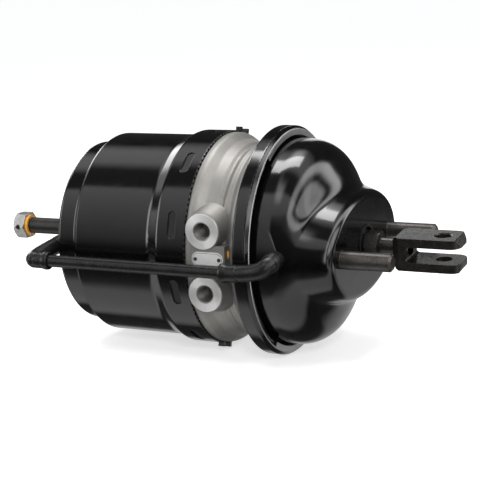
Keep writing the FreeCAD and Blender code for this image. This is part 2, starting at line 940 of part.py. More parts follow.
def make_clamp_nut():
    body = new_body("clamp_nut")
    bottom = -d.lug_gap / 2 - d.lug_thick
    outline = new_sketch(body, "XY_Plane", bottom)
    draw_outline(outline, shifted(hexagon_corners(d.clamp_bolt_flats), clamp_bolt_x, clamp_bolt_y))
    draw_circle(outline, clamp_bolt_x, clamp_bolt_y, d.clamp_bolt_radius + d.running_gap)
    extrude(body, "Pad", outline, d.clamp_nut_height, "hexagon", True)
    return body


# Cast flange

spigot_left = rim_x - d.spigot_length
web_left = rim_x + d.web_rear
web_right = web_left + d.web_thick
hub_left = rim_x - d.hub_rear
hub_right = clamp_x - d.hub_front
bush_outer = d.tube_radius + d.bush_wall
seal_outer = d.tube_radius + d.rod_seal_depth
seal_left = hub_right - d.retainer_width - d.rod_seal_width
port_x = clamp_x - d.port_x
port_heights = (d.port_spacing / 2 - d.port_centre, -d.port_spacing / 2 - d.port_centre)
slot_x = rim_x - d.slot_back


def make_flange_body():
    """Casting with ribs outside, a web and hub inside and two ports facing -Y."""
    body = new_body("flange_body")
    bend = d.shell_bend
    rim_right = rim_x + d.flange_rim_width
    step = (cast_lip_left - rim_right) / 9
    revolve(
        body,
        [
            (spigot_left, bush_outer),
            (spigot_left, d.spigot_radius),
            (rim_x, d.spigot_radius),
            (rim_x, d.flange_rim, bend / 2),
            (rim_right, d.flange_rim, bend * 2),
            (rim_right + step * 1.5, d.shell_radius + bend, bend * 1.5),
            (rim_right + step * 3.2, d.shell_radius, bend),
            (rim_right + step * 4, d.valley_radius, bend),
            (rim_right + step * 5, d.shell_radius, bend),
            (rim_right + step * 5.8, d.valley_radius + bend / 4, bend),
            (rim_right + step * 6.9, d.ridge_radius, bend / 2),
            (rim_right + step * 7.7, d.ridge_radius, bend / 2),
            (rim_right + step * 8.2, d.flange_neck, bend / 3),
            (cast_lip_left, d.flange_neck),
            (cast_lip_left, d.rim_radius),
            (bead_left, d.rim_radius),
            (bead_left, bush_outer),
        ],
    )
    for height, name in zip(port_heights, ("upper", "lower")):
        tip = new_sketch(body, "XZ_Plane", d.port_face - d.port_edge * 3)
        draw_circle(tip, port_x, height, d.port_radius)
        depth = d.port_face - d.port_edge * 3 - d.boss_root
        cone = extrude(body, "Pad", tip, depth, f"{name}_boss", True)
        bind(cone, "TaperAngle", d.boss_taper)
        face = new_sketch(body, "XZ_Plane", d.boss_root)
        draw_circle(face, port_x, height, d.port_radius)
        extrude(body, "Pad", face, d.port_face - d.boss_root, f"{name}_face")
    pad = new_sketch(body, "XZ_Plane", d.boss_root)
    pad_half = d.plate_pad_half
    draw_outline(
        pad,
        box_corners(
            rim_x + d.plate_pad_start,
            rim_x + d.plate_pad_end,
            d.nameplate_z - pad_half,
            d.nameplate_z + pad_half,
        ),
    )
    extrude(body, "Pad", pad, d.plate_pad_face - d.boss_root, "plate_pad")
    # The shoulder gives way to the plate's end
    seat = new_sketch(body, "XZ_Plane", d.plate_pad_face)
    gap = d.running_gap * 2
    draw_outline(
        seat,
        slot_corners(
            rim_x + d.nameplate_x, d.nameplate_z, d.nameplate_length + gap, d.nameplate_height + gap
        ),
    )
    extrude(body, "Pocket", seat, d.nameplate_thick * 3, "plate_seat", True)
    # Hollows on the spring side and on the diaphragm side of the web
    revolve(
        body,
        [
            (spigot_left - 1, ZERO),
            (spigot_left - 1, d.spring_cavity),
            (web_left - bend * 2, d.spring_cavity, bend),
            (web_left, d.spring_cavity - bend * 2, bend),
            (web_left, d.hub_radius, bend),
            (hub_left, d.hub_radius - bend / 2),
            (hub_left, ZERO),
        ],
        "Groove",
        "spring_hollow",
    )
    side_x = clamp_x - d.diaphragm_side_back - d.free_gap * 2
    revolve(
        body,
        [
            (bead_left, ZERO),
            (bead_left, d.seat_mouth),
            (side_x, d.diaphragm_side + d.free_gap * 2, bend),
            (hub_right, d.seat_radius, bend),
            (web_right, d.seat_radius - bend),
            (web_right, d.hub_radius, bend),
            (hub_right, d.hub_radius - bend / 2),
            (hub_right, ZERO),
        ],
        "Groove",
        "diaphragm_hollow",
    )
    revolve(
        body,
        box_corners(seal_left, hub_right, bush_outer - 1, seal_outer),
        "Groove",
        "seal_bore",
    )
    ring_x = spigot_left + d.o_ring_back
    ring_half = d.o_ring_wire / 2 + d.free_gap
    revolve(
        body,
        box_corners(
            ring_x - ring_half,
            ring_x + ring_half,
            d.bell_radius - d.barrel_wall - d.o_ring_wire,
            d.spigot_radius + 1,
        ),
        "Groove",
        "o_ring_groove",
    )
    groove_half = d.lock_groove_width / 2
    revolve(
        body,
        box_corners(
            slot_x - groove_half,
            slot_x + groove_half,
            d.spigot_radius - d.lock_groove_depth,
            d.spigot_radius + 1,
        ),
        "Groove",
        "lock_groove",
    )
    ports = new_sketch(body, "XZ_Plane", d.port_face)
    drills = new_sketch(body, "XZ_Plane", d.port_face)
    for height in port_heights:
        draw_circle(ports, port_x, height, d.port_bore)
        draw_circle(drills, port_x, height, d.port_drill)
    extrude(body, "Pocket", drills, d.port_face - d.port_drill_end, "drills")
    bored = extrude(body, "Pocket", ports, d.port_depth, "ports")
    mouths = edges_where(
        bored.Shape,
        lambda e: e.Curve.TypeId == "Part::GeomCircle"
        and e.BoundBox.YMax < -float(d.port_face) + 0.01,
    )
    dress(body, "Chamfer", bored, mouths, d.port_edge, "port_edges")
    drill_y = -d.port_drill_end - d.port_drill
    for height, toward_rod, name in zip(port_heights, (True, False), ("service", "spring")):
        gallery = new_sketch(body, "YZ_Plane", (web_left + web_right) / 2)
        draw_circle(gallery, drill_y, height, d.port_drill)
        extrude(body, "Pocket", gallery, d.web_thick, f"{name}_gallery", toward_rod)
    return body


def make_nameplate():
    body = new_body("nameplate")
    plate = new_sketch(body, "XZ_Plane", d.plate_pad_face)
    middle = rim_x + d.nameplate_x
    draw_outline(
        plate, slot_corners(middle, d.nameplate_z, d.nameplate_length, d.nameplate_height)
    )
    extrude(body, "Pad", plate, d.nameplate_thick, "plate")
    return body


def make_nameplate_rivets():
    """Two drive pins with low heads, through the plate into the casting's pad."""
    body = new_body("nameplate_rivets")
    reach = d.nameplate_length / 2 - d.rivet_inset
    for side in (-1, 1):
        head = new_sketch(body, "XZ_Plane", d.plate_pad_face + d.nameplate_thick)
        draw_circle(head, rim_x + d.nameplate_x + reach * side, d.nameplate_z, d.rivet_radius)
        extrude(body, "Pad", head, d.rivet_head, f"head_{side + 1}")
    return body


# Spring section

def make_spring_housing():
    """Drawn cup with a stepped barrel, ten locking dimples and four rim lugs."""
    body = new_body("spring_housing")
    wall = d.barrel_wall
    bend = d.end_bend
    step_left = end_x + d.end_length
    step_right = step_left + d.end_step
    bell_left = rim_x - d.bell_length
    bell_step = bell_left - d.bell_step
    inner_end = d.end_radius - wall
    inner_bell = d.bell_radius - wall
    revolve(
        body,
        [
            (end_x, d.boss_spigot),
            (end_x, d.end_radius, bend),
            (step_left, d.end_radius, bend),
            (step_right, d.barrel_radius, bend),
            (bell_step, d.barrel_radius, bend * 3),
            (bell_left, d.bell_radius, bend * 2),
            (rim_x, d.bell_radius),
            (rim_x, inner_bell),
            (bell_left + wall / 4, inner_bell, bend),
            (bell_step + wall / 4, barrel_inside, bend * 2),
            (step_right + wall / 2, barrel_inside, bend / 2),
            (step_left + wall / 2, inner_end, bend / 2),
            (end_inside, inner_end, bend / 2),
            (end_inside, d.boss_spigot),
        ],
    )
    dimple_floor = d.bell_radius - d.slot_depth
    boss = facing_sketch(body, d.slot_angle, inner_bell - d.slot_depth)
    draw_slot_across(boss, d.slot_length - d.slot_width / 3, d.slot_width)
    bump = extrude(body, "Pad", boss, d.slot_depth * 2, "dimple_back")
    floor = facing_sketch(body, d.slot_angle, dimple_floor)
    draw_slot_across(floor, d.slot_length, d.slot_width)
    dimple = extrude(body, "Pocket", floor, d.slot_depth * 2, "dimple", True)
    pattern = body.newObject("PartDesign::PolarPattern", "spring_housing_dimples")
    pattern.Originals = [bump, dimple]
    pattern.Axis = (origin_feature(body, "X_Axis"), [""])
    pattern.Angle = 360
    bind(pattern, "Occurrences", d.slot_count)
    body.Tip = pattern
    doc.recompute()
    for turn in (90, 270):
        for side in (-1, 1):
            angle = d.nub_lean + turn + d.nub_spread / 2 * side
            nub = facing_sketch(body, angle, d.bell_radius - 1)
            half = d.nub_width / 2
            back = rim_x - d.nub_overhang
            draw_outline(nub, box_corners(back, back + d.nub_length, -half, half))
            extrude(body, "Pad", nub, d.nub_height + 1, f"nub_{turn}_{side + 1}")
    vent = new_sketch(body, "YZ_Plane", end_x)
    draw_circle(vent, -d.rear_elbow_y, rear_elbow_z, d.elbow_radius + d.running_gap)
    extrude(body, "Pocket", vent, wall * 2, "vent", True)
    return body


def draw_slot_across(sketch, length, width):
    """A round-ended slot at the dimples' station, long around the housing."""
    bend = width * SLOT_ROUNDING
    half_width, half_length = width / 2, length / 2
    draw_outline(
        sketch,
        [
            (slot_x - half_width, -half_length, bend),
            (slot_x + half_width, -half_length, bend),
            (slot_x + half_width, half_length, bend),
            (slot_x - half_width, half_length, bend),
        ],
    )


rear_elbow_z = d.rear_elbow_rise - d.breather_z
rear_elbow_x = end_x - d.rear_elbow_reach
breather_rear = end_x + d.breather_inset

piston_left = end_x + d.piston_back
piston_right = piston_left + d.piston_rim_width
piston_radius = barrel_inside - d.piston_gap
web_face = piston_left + d.piston_web_left
shoulder_x = piston_left + d.piston_shoulder
hub_end = piston_left + d.piston_hub_length
bolt_hole = d.bolt_radius + d.piston_gap
seal_x = piston_left + d.piston_rim_width / 3
guide_x = piston_left + d.piston_rim_width * 3 / 4


def make_spring_piston():
    """Dished piston held back by the release bolt, with grooves for its seal and guide."""
    body = new_body("spring_piston")
    bend = d.shell_bend
    right_face = web_face + d.piston_web
    revolve(
        body,
        [
            (piston_left, bolt_hole),
            (piston_left, d.piston_hub, bend / 2),
            (web_face, d.piston_hub + bend, bend),
            (web_face, d.piston_rim_inner, bend),
            (piston_left, d.piston_rim_inner, bend / 3),
            (piston_left, piston_radius),
            (piston_right, piston_radius),
            (piston_right, d.piston_rim_inner + bend),
            (right_face, d.piston_rim_inner - bend * 2),
            (right_face, d.piston_hub + bend, bend),
            (hub_end, d.piston_hub),
            (hub_end, d.tube_radius),
            (shoulder_x, d.tube_radius),
            (shoulder_x, bolt_hole),
        ],
    )
    for x, width, depth, name in (
        (seal_x, d.seal_width, d.seal_depth, "seal_groove"),
        (guide_x, d.guide_width, d.guide_depth, "guide_groove"),
    ):
        revolve(
            body,
            box_corners(x - width / 2, x + width / 2, piston_radius - depth, piston_radius + 1),
            "Groove",
            name,
        )
    return body


def groove_ring(label, x, width, depth):
    """A ring that fills a groove of the piston and reaches the barrel."""
    return ring(
        label,
        x - width / 2,
        x + width / 2,
        piston_radius - depth,
        barrel_inside - d.running_gap,
    )


cap_right = diaphragm_left - d.free_gap
tube_right = cap_right - d.cap_head


def make_piston_tube():
    return ring("piston_tube", shoulder_x, tube_right, d.tube_radius - d.tube_wall, d.tube_radius)


def make_tube_end_cap():
    plug = d.tube_radius - d.tube_wall
    return turned(
        "tube_end_cap",
        [
            (tube_right - d.cap_plug, ZERO),
            (tube_right - d.cap_plug, plug),
            (tube_right, plug),
            (tube_right, d.tube_radius),
            (cap_right, d.tube_radius, d.tube_wall / 2),
            (cap_right, ZERO),
        ],
    )


def make_power_spring():
    """Heavy conical spring, squeezed almost solid between the end wall and the piston."""
    front = web_face - d.power_wire / 2 - d.free_gap
    rear = end_inside + d.power_wire / 2 + d.free_gap
    start = d.power_rear - d.power_growth * d.power_turns
    return coil(
        "power_spring", front, start, d.power_wire, d.power_turns, front - rear, d.power_growth
    )


# Release bolt, wound out

head_right = end_x - d.bolt_reach
washer_left = head_right
washer_right = washer_left + d.bolt_washer
bolt_end_right = shoulder_x + d.free_gap + d.thrust_washer + d.free_gap + d.bolt_end
pin_x = head_right - d.bolt_head + d.bolt_pin_out


def make_release_bolt():
    flange = bolt_end_right - d.bolt_end
    body = turned(
        "release_bolt",
        [
            (head_right - d.bolt_head + d.free_gap, ZERO),
            (head_right - d.bolt_head + d.free_gap, d.bolt_radius),
            (flange, d.bolt_radius),
            (flange, d.bolt_end_radius),
            (bolt_end_right, d.bolt_end_radius),
            (bolt_end_right, ZERO),
        ],
    )
    return cross_drilled(body)


def make_release_head():
    """Hexagon head, turned down to a crown at its outer end."""
    head_left = head_right - d.bolt_head
    head = hexagon_piece("release_head", head_left, d.bolt_flats, d.bolt_head, d.bolt_radius)
    beyond = d.bolt_flats * 2 / 3
    revolve(
        head,
        [(head_left, d.bolt_crown), (head_left + d.bolt_dome, beyond), (head_left, beyond)],
        "Groove",
        "crown",
    )
    return cross_drilled(head)


def cross_drilled(body):
    """Drills the hole of the cross pin through a piece of the release bolt."""
    sketch = new_sketch(body, "XZ_Plane", d.bolt_flats)
    draw_circle(sketch, pin_x, ZERO, d.bolt_pin_radius)
    extrude(body, "Pocket", sketch, d.bolt_flats * 2, "pin_hole")
    return body


def make_release_pin():
    """Solid cross pin, flush with the flats of the head."""
    body = new_body("release_pin")
    half = d.bolt_flats / 2
    outline = new_sketch(body, "XZ_Plane", -half)
    draw_circle(outline, pin_x, ZERO, d.bolt_pin_radius)
    extrude(body, "Pad", outline, d.bolt_flats, "shank")
    return body


def make_release_boss():
    """Threaded boss welded into the end wall."""
    bore = d.bolt_radius + d.running_gap
    return turned(
        "release_boss",
        [
            (end_x, bore),
            (end_x, d.boss_spigot),
            (end_inside, d.boss_spigot),
            (end_inside, d.boss_radius),
            (end_inside + d.boss_length, d.boss_radius, d.shell_bend),
            (end_inside + d.boss_length, bore),
        ],
    )


# Breather tube and its elbows

def bent_path(points, bends):
    """A wire of straight runs joined by tangent arcs."""
    edges = []
    start = points[0]
    for before, corner, after, radius in zip(points, points[1:], points[2:], bends):
        back = (before - corner).normalize()
        ahead = (after - corner).normalize()
        half = back.getAngle(ahead) / 2
        reach = radius / math.tan(half)
        middle = corner + (back + ahead).normalize() * (radius / math.sin(half) - radius)
        entry = corner + back * reach
        leave = corner + ahead * reach
        edges.append(Part.LineSegment(start, entry).toShape())
        edges.append(Part.Arc(entry, middle, leave).toShape())
        start = leave
    edges.append(Part.LineSegment(start, points[-1]).toShape())
    return Part.Wire(edges)


def swept(path, radius):
    start = path.Edges[0]
    direction = start.tangentAt(start.FirstParameter)
    position = start.valueAt(start.FirstParameter)
    profile = Part.Wire(Part.makeCircle(radius, position, direction))
    return path.makePipeShell([profile], True, False)


def disc(start, direction, length, radius):
    return Part.makeCylinder(radius, length, start, direction)


def make_elbow(label, points, bend, foot_back):
    """A moulded elbow: swept body, bulged mouth, foot against the wall, bore and tube socket."""
    path = bent_path(points, [bend] * (len(points) - 2))
    mouth = (points[1] - points[0]).normalize()
    ahead = (points[-1] - points[-2]).normalize()
    foot_width = float(d.elbow_foot_width)
    foot_start = points[-1] - ahead * (foot_back + foot_width)
    solid = swept(path, float(d.elbow_radius))
    solid = solid.fuse(disc(points[0], mouth, float(d.elbow_collar_width), float(d.elbow_collar)))
    solid = solid.fuse(disc(foot_start, ahead, foot_width, float(d.elbow_foot)))
    solid = solid.cut(swept(path, float(d.elbow_bore)))
    tube_room = float(d.breather_radius + d.running_gap)
    solid = solid.cut(disc(points[0], mouth, float(d.elbow_socket), tube_room))
    piece = doc.addObject("Part::Feature", label)
    piece.Label = label
    piece.Shape = solid.removeSplitter()
    piece.Placement = FreeCAD.Placement()
    return piece


def tube_point(x, y=None, z=None):
    """A point on the tube's line, or beside it."""
    y = -d.breather_y if y is None else y
    z = -d.breather_z if z is None else z
    return FreeCAD.Vector(float(x), float(y), float(z))


def make_front_elbow():
    """From the tube's front end, up and round into the side of the service housing."""
    mouth_x = -d.breather_front - d.elbow_socket
    points = [
        tube_point(mouth_x),
        tube_point(mouth_x + d.elbow_collar_width),
        tube_point(-d.front_elbow_x, None, front_elbow_z),
        tube_point(-d.front_elbow_x, -d.front_elbow_end, front_elbow_z),
    ]
    foot_back = float(d.neck_radius + d.free_gap - d.front_elbow_end)
    return make_elbow("front_elbow", points, float(d.elbow_bend), foot_back)


def make_rear_elbow():
    """From the tube's rear end, round into the end wall of the spring housing."""
    points = [
        tube_point(breather_rear + d.elbow_socket),
        tube_point(rear_elbow_x),
        tube_point(rear_elbow_x, -d.rear_elbow_y, rear_elbow_z),
        tube_point(end_inside, -d.rear_elbow_y, rear_elbow_z),
    ]
    foot_back = float(d.barrel_wall + d.free_gap)
    return make_elbow("rear_elbow", points, float(d.rear_elbow_bend), foot_back)


def make_breather_tube():
    body = new_body("breather_tube")
    sketch = new_sketch(body, "YZ_Plane", breather_rear)
    draw_circle(sketch, -d.breather_y, -d.breather_z, d.breather_radius)
    draw_circle(sketch, -d.breather_y, -d.breather_z, d.breather_radius - d.breather_wall)
    extrude(body, "Pad", sketch, -breather_rear - d.breather_front, "run")
    return body


def make_o_ring():
    """Round ring between the spigot and the bell of the spring housing."""
    body = new_body("housing_o_ring")
    sketch = new_sketch(body)
    middle = d.bell_radius - d.barrel_wall - d.o_ring_wire / 2
    draw_circle(sketch, spigot_left + d.o_ring_back, middle, d.o_ring_wire / 2)
    ring_made = feature(body, "Revolution", sketch, "turned")
    ring_made.ReferenceAxis = (sketch, ["H_Axis"])
    return body


def make_rod_guides():
    """Bush, seal and retainer of the piston tube, in the hub of the flange."""
    near_tube = d.tube_radius + d.running_gap
    retainer_left = hub_right - d.retainer_width
    return [
        ring("flange_bush", hub_left, seal_left, near_tube, bush_outer),
        ring("rod_seal", seal_left, retainer_left, near_tube, seal_outer),
        ring("seal_retainer", retainer_left, hub_right, near_tube + d.retainer_width, seal_outer),
    ]


def make_release_rings():
    """Washer under the head and thrust washer in front of the piston's shoulder."""
    bore = d.bolt_radius + d.running_gap
    thrust_left = shoulder_x + d.free_gap
    thrust_right = thrust_left + d.thrust_washer
    return [
        ring("release_washer", washer_left, washer_right, bore, d.bolt_washer_radius),
        ring("release_thrust_washer", thrust_left, thrust_right, bore, d.bolt_end_radius),
    ]


PIECES = [
    make_spring_housing(),
    make_release_boss(),
    make_power_spring(),
    make_spring_piston(),
    groove_ring("piston_seal", seal_x, d.seal_width, d.seal_depth),
    groove_ring("piston_guide_ring", guide_x, d.guide_width, d.guide_depth),
    make_piston_tube(),
    make_tube_end_cap(),
    *make_rod_guides(),
    make_o_ring(),
    make_flange_body(),
    make_nameplate(),
    make_nameplate_rivets(),
    make_clamp_ring(),
    make_clamp_bolt(),
    make_clamp_nut(),
    make_service_housing(),
    make_studs(),
    make_dust_guard(),
    make_diaphragm(),
    make_push_plate(),
    make_push_rod(),
    hexagon_piece(
        "lock_nut",
        d.nut_reach - d.nut_height,
        d.nut_flats,
        d.nut_height,
        d.rod_radius + d.running_gap,
    ),
    make_clevis(),
    make_return_spring(),
    make_release_bolt(),
    make_release_head(),
    make_release_pin(),
    *make_release_rings(),
    make_breather_tube(),
    make_front_elbow(),
    make_rear_elbow(),
]


# Checks, then one file for each piece

doc.recompute()
for item in doc.Objects:
    if {"Invalid", "Error"} & set(item.State):
        raise RuntimeError(f"{item.Label} did not compute: {item.State}")
for piece in PIECES:
    if piece.Shape.isNull() or not piece.Shape.isValid():
        raise RuntimeError(f"{piece.Label} has no valid shape")
os.makedirs("parts", exist_ok=True)
for piece in PIECES:
    box = piece.Shape.BoundBox
    print(
        f"{piece.Label}: {len(piece.Shape.Solids)} solid, {piece.Shape.Volume / 1000:.1f} cm3,"
        f" X {box.XMin:.1f} to {box.XMax:.1f}, Y {box.YMin:.1f} to {box.YMax:.1f},"
        f" Z {box.ZMin:.1f} to {box.ZMax:.1f}"
    )
    piece.Shape.exportStep(f"parts/{piece.Label}.step")
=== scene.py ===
import math

import bmesh
import bpy
from mathutils import Matrix, Vector


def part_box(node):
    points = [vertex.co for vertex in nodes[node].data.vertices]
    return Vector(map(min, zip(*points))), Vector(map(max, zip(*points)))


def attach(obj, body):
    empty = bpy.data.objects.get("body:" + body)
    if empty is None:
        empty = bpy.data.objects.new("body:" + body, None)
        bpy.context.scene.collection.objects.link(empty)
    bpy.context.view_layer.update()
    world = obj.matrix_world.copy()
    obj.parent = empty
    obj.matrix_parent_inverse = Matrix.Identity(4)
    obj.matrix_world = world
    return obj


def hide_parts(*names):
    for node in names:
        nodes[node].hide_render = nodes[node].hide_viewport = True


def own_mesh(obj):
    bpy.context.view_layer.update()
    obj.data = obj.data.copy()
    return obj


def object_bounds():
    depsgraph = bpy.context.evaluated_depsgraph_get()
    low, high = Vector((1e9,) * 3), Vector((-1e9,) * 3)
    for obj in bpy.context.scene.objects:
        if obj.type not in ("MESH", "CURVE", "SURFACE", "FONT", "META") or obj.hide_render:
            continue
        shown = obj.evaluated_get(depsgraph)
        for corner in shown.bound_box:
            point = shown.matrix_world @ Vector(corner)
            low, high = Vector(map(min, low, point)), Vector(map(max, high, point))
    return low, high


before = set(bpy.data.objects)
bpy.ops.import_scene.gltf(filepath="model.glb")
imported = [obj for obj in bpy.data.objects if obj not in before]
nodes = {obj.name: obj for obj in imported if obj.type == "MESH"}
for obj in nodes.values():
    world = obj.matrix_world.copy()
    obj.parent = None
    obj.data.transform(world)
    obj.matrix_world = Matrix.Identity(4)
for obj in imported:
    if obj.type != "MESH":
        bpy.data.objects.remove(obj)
cad_low, cad_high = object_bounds()

# Places on the model, in metres

MM = 0.001
plate_low, plate_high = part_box("nameplate")
RIM_RADIUS = 99.4 * MM
RIM_X = -132.0 * MM
RING_FLANK_X = -68.3 * MM
PORT_X = -113.75 * MM
PORT_Z = (26.9 * MM, -28.9 * MM)
PORT_RADIUS = 17.43 * MM
PORT_BORE = 8.4 * MM
PORT_FACE_Y = -97.8 * MM
THREAD_PITCH = 1.5 * MM
TURNING_PITCH = 0.45 * MM
PLATE_LINE_INSET = 1.0 * MM
PLATE_LINE_HALF = 0.22 * MM


# Node trees

def new_material(name):
    material = bpy.data.materials.new(name)
    material.use_nodes = True
    tree = material.node_tree
    tree.nodes.clear()
    output = tree.nodes.new("ShaderNodeOutputMaterial")
    shader = tree.nodes.new("ShaderNodeBsdfPrincipled")
    tree.links.new(shader.outputs["BSDF"], output.inputs["Surface"])
    return material, tree, shader


def add(tree, kind, **settings):
    node = tree.nodes.new(kind)
    for key, value in settings.items():
        setattr(node, key, value)
    return node


def place(tree):
    """The object's own coordinates, in metres."""
    return add(tree, "ShaderNodeTexCoord").outputs["Object"]


def noise(tree, scale, detail=3.0, roughness=0.5):
    node = add(tree, "ShaderNodeTexNoise")
    node.inputs["Scale"].default_value = scale
    node.inputs["Detail"].default_value = detail
    node.inputs["Roughness"].default_value = roughness
    tree.links.new(place(tree), node.inputs["Vector"])
    return node.outputs["Fac"]


def remap(tree, value, low, high, from_low=0.3, from_high=0.7):
    node = add(tree, "ShaderNodeMapRange")
    node.inputs["From Min"].default_value = from_low
    node.inputs["From Max"].default_value = from_high
    node.inputs["To Min"].default_value = low
    node.inputs["To Max"].default_value = high
    tree.links.new(value, node.inputs["Value"])
    return node.outputs["Result"]


def mixed(tree, factor, first, second):
    """A colour between two, by a factor."""
    node = add(tree, "ShaderNodeMix", data_type="RGBA")
    tree.links.new(factor, node.inputs["Factor"])
    for name, value in (("A", first), ("B", second)):
        socket = next(s for s in node.inputs if s.name == name and s.type == "RGBA")
        if isinstance(value, tuple):
            socket.default_value = (*value, 1.0)
        else:
            tree.links.new(value, socket)
    return next(s for s in node.outputs if s.type == "RGBA")


def math_node(tree, operation, *values):
    node = add(tree, "ShaderNodeMath", operation=operation)
    for socket, value in zip(node.inputs, values):
        if isinstance(value, (int, float)):
            socket.default_value = value
        else:
            tree.links.new(value, socket)
    return node.outputs[0]


def bump(tree, shader, height, distance, strength=1.0, before=None):
    node = add(tree, "ShaderNodeBump")
    node.inputs["Strength"].default_value = strength
    node.inputs["Distance"].default_value = distance
    tree.links.new(height, node.inputs["Height"])
    if before is not None:
        tree.links.new(before, node.inputs["Normal"])
    tree.links.new(node.outputs["Normal"], shader.inputs["Normal"])
    return node.outputs["Normal"]


def waves(tree, place_along, pitch):
    """A sine wave along a coordinate."""
    return math_node(tree, "SINE", math_node(tree, "MULTIPLY", place_along, 2 * math.pi / pitch))


def soft_edges(tree, radius):
    """The shading of an edge that is rounded a little, as every real one is."""
    node = add(tree, "ShaderNodeBevel", samples=6)
    node.inputs["Radius"].default_value = radius
    return node.outputs["Normal"]


def split(tree):
    node = add(tree, "ShaderNodeSeparateXYZ")
    tree.links.new(place(tree), node.inputs["Vector"])
    return node.outputs["X"], node.outputs["Y"], node.outputs["Z"]


# Materials. Noise scales are per metre and tones are linear.

FLANK_CUTS, FLANK_METALLIC, FLANK_ROUGH = 300.0, 0.7, 0.32
PALE_PATCH = 1.9


def black_paint(name="black_enamel", serrated_from=None):
    """Gloss black enamel on pressed steel, with a faint orange peel and a little dust."""
    material, tree, shader = new_material(name)
    specks = noise(tree, scale=38.0, detail=6.0, roughness=0.62)
    dust = remap(tree, specks, low=0.0, high=1.0, from_low=0.52, from_high=0.8)
    colour = mixed(tree, dust, first=(0.0022, 0.0021, 0.0022), second=(0.0055, 0.0052, 0.005))
    rough = remap(tree, noise(tree, scale=90.0, detail=4.0), low=0.09, high=0.15)
    shader.inputs["IOR"].default_value = 1.5
    edges = soft_edges(tree, radius=0.5 * MM)
    fine = noise(tree, scale=420.0, detail=2.0)
    peel = bump(tree, shader, fine, distance=0.1 * MM, strength=0.16, before=edges)
    broad = noise(tree, scale=34.0, detail=2.0)
    skin = bump(tree, shader, broad, distance=0.8 * MM, strength=0.1, before=peel)
    if serrated_from is not None:
        # The flank past serrated_from is coloured light grey and made metallic, with fine cross cuts
        x, y, z = split(tree)
        flank = math_node(tree, "GREATER_THAN", x, serrated_from)
        colour = mixed(tree, flank, colour, second=(0.34, 0.34, 0.335))
        angle = math_node(tree, "ARCTAN2", y, z)
        cuts = math_node(tree, "SINE", math_node(tree, "MULTIPLY", angle, FLANK_CUTS))
        cuts = math_node(tree, "MULTIPLY", cuts, flank)
        bump(tree, shader, cuts, distance=0.5 * MM, strength=0.5, before=skin)
        shine = math_node(tree, "MULTIPLY", flank, FLANK_METALLIC)
        tree.links.new(shine, shader.inputs["Metallic"])
        rough = math_node(tree, "MAXIMUM", rough, math_node(tree, "MULTIPLY", flank, FLANK_ROUGH))
    tree.links.new(colour, shader.inputs["Base Color"])
    tree.links.new(rough, shader.inputs["Roughness"])
    return material


def cast_aluminium():
    """Sand-fine casting skin; the two port faces are turned bright, and their bores are coloured darker
    as painted shade.
    """
    material, tree, shader = new_material("cast_aluminium")
    x, y, z = split(tree)
    tone = remap(tree, noise(tree, scale=26.0, detail=5.0, roughness=0.6), low=0.0, high=1.0)
    cast = mixed(tree, tone, first=(0.21, 0.203, 0.192), second=(0.29, 0.28, 0.263))
    # Distance from the nearer port's centre line
    upper = math_node(tree, "ABSOLUTE", math_node(tree, "SUBTRACT", z, PORT_Z[0]))
    lower = math_node(tree, "ABSOLUTE", math_node(tree, "SUBTRACT", z, PORT_Z[1]))
    height = math_node(tree, "MINIMUM", upper, lower)
    along = math_node(tree, "SUBTRACT", x, PORT_X)
    radius = math_node(
        tree,
        "SQRT",
        math_node(
            tree,
            "ADD",
            math_node(tree, "MULTIPLY", height, height),
            math_node(tree, "MULTIPLY", along, along),
        ),
    )
    on_face = math_node(tree, "LESS_THAN", y, PORT_FACE_Y)
    near_port = math_node(tree, "LESS_THAN", radius, PORT_RADIUS)
    face = math_node(tree, "MULTIPLY", on_face, near_port)
    in_bore = math_node(tree, "LESS_THAN", radius, PORT_BORE)
    machined = math_node(tree, "MAXIMUM", face, math_node(tree, "MULTIPLY", in_bore, near_port))
    colour = mixed(tree, machined, cast, second=(0.72, 0.72, 0.71))
    # Painted shade: the threaded bores are coloured dark grey where the deep holes fall into shade
    colour = mixed(tree, in_bore, colour, second=(0.3, 0.29, 0.28))
    tree.links.new(colour, shader.inputs["Base Color"])
    shader.inputs["Metallic"].default_value = 0.75
    rough = remap(tree, machined, low=0.5, high=0.38, from_low=0.0, from_high=1.0)
    tree.links.new(rough, shader.inputs["Roughness"])
    rest = math_node(tree, "SUBTRACT", 1.0, machined)
    grain = math_node(tree, "MULTIPLY", noise(tree, scale=1400.0, detail=3.0), rest)
    rings = waves(tree, radius, TURNING_PITCH)
    turned = math_node(tree, "MULTIPLY", rings, math_node(tree, "MULTIPLY", machined, 0.5))
    height = math_node(tree, "ADD", grain, turned)
    edges = soft_edges(tree, radius=0.4 * MM)
    skin = bump(tree, shader, height, distance=0.16 * MM, strength=0.35, before=edges)
    thread = math_node(tree, "MULTIPLY", waves(tree, y, THREAD_PITCH), in_bore)
    bump(tree, shader, thread, distance=0.6 * MM, strength=0.8, before=skin)
    return material


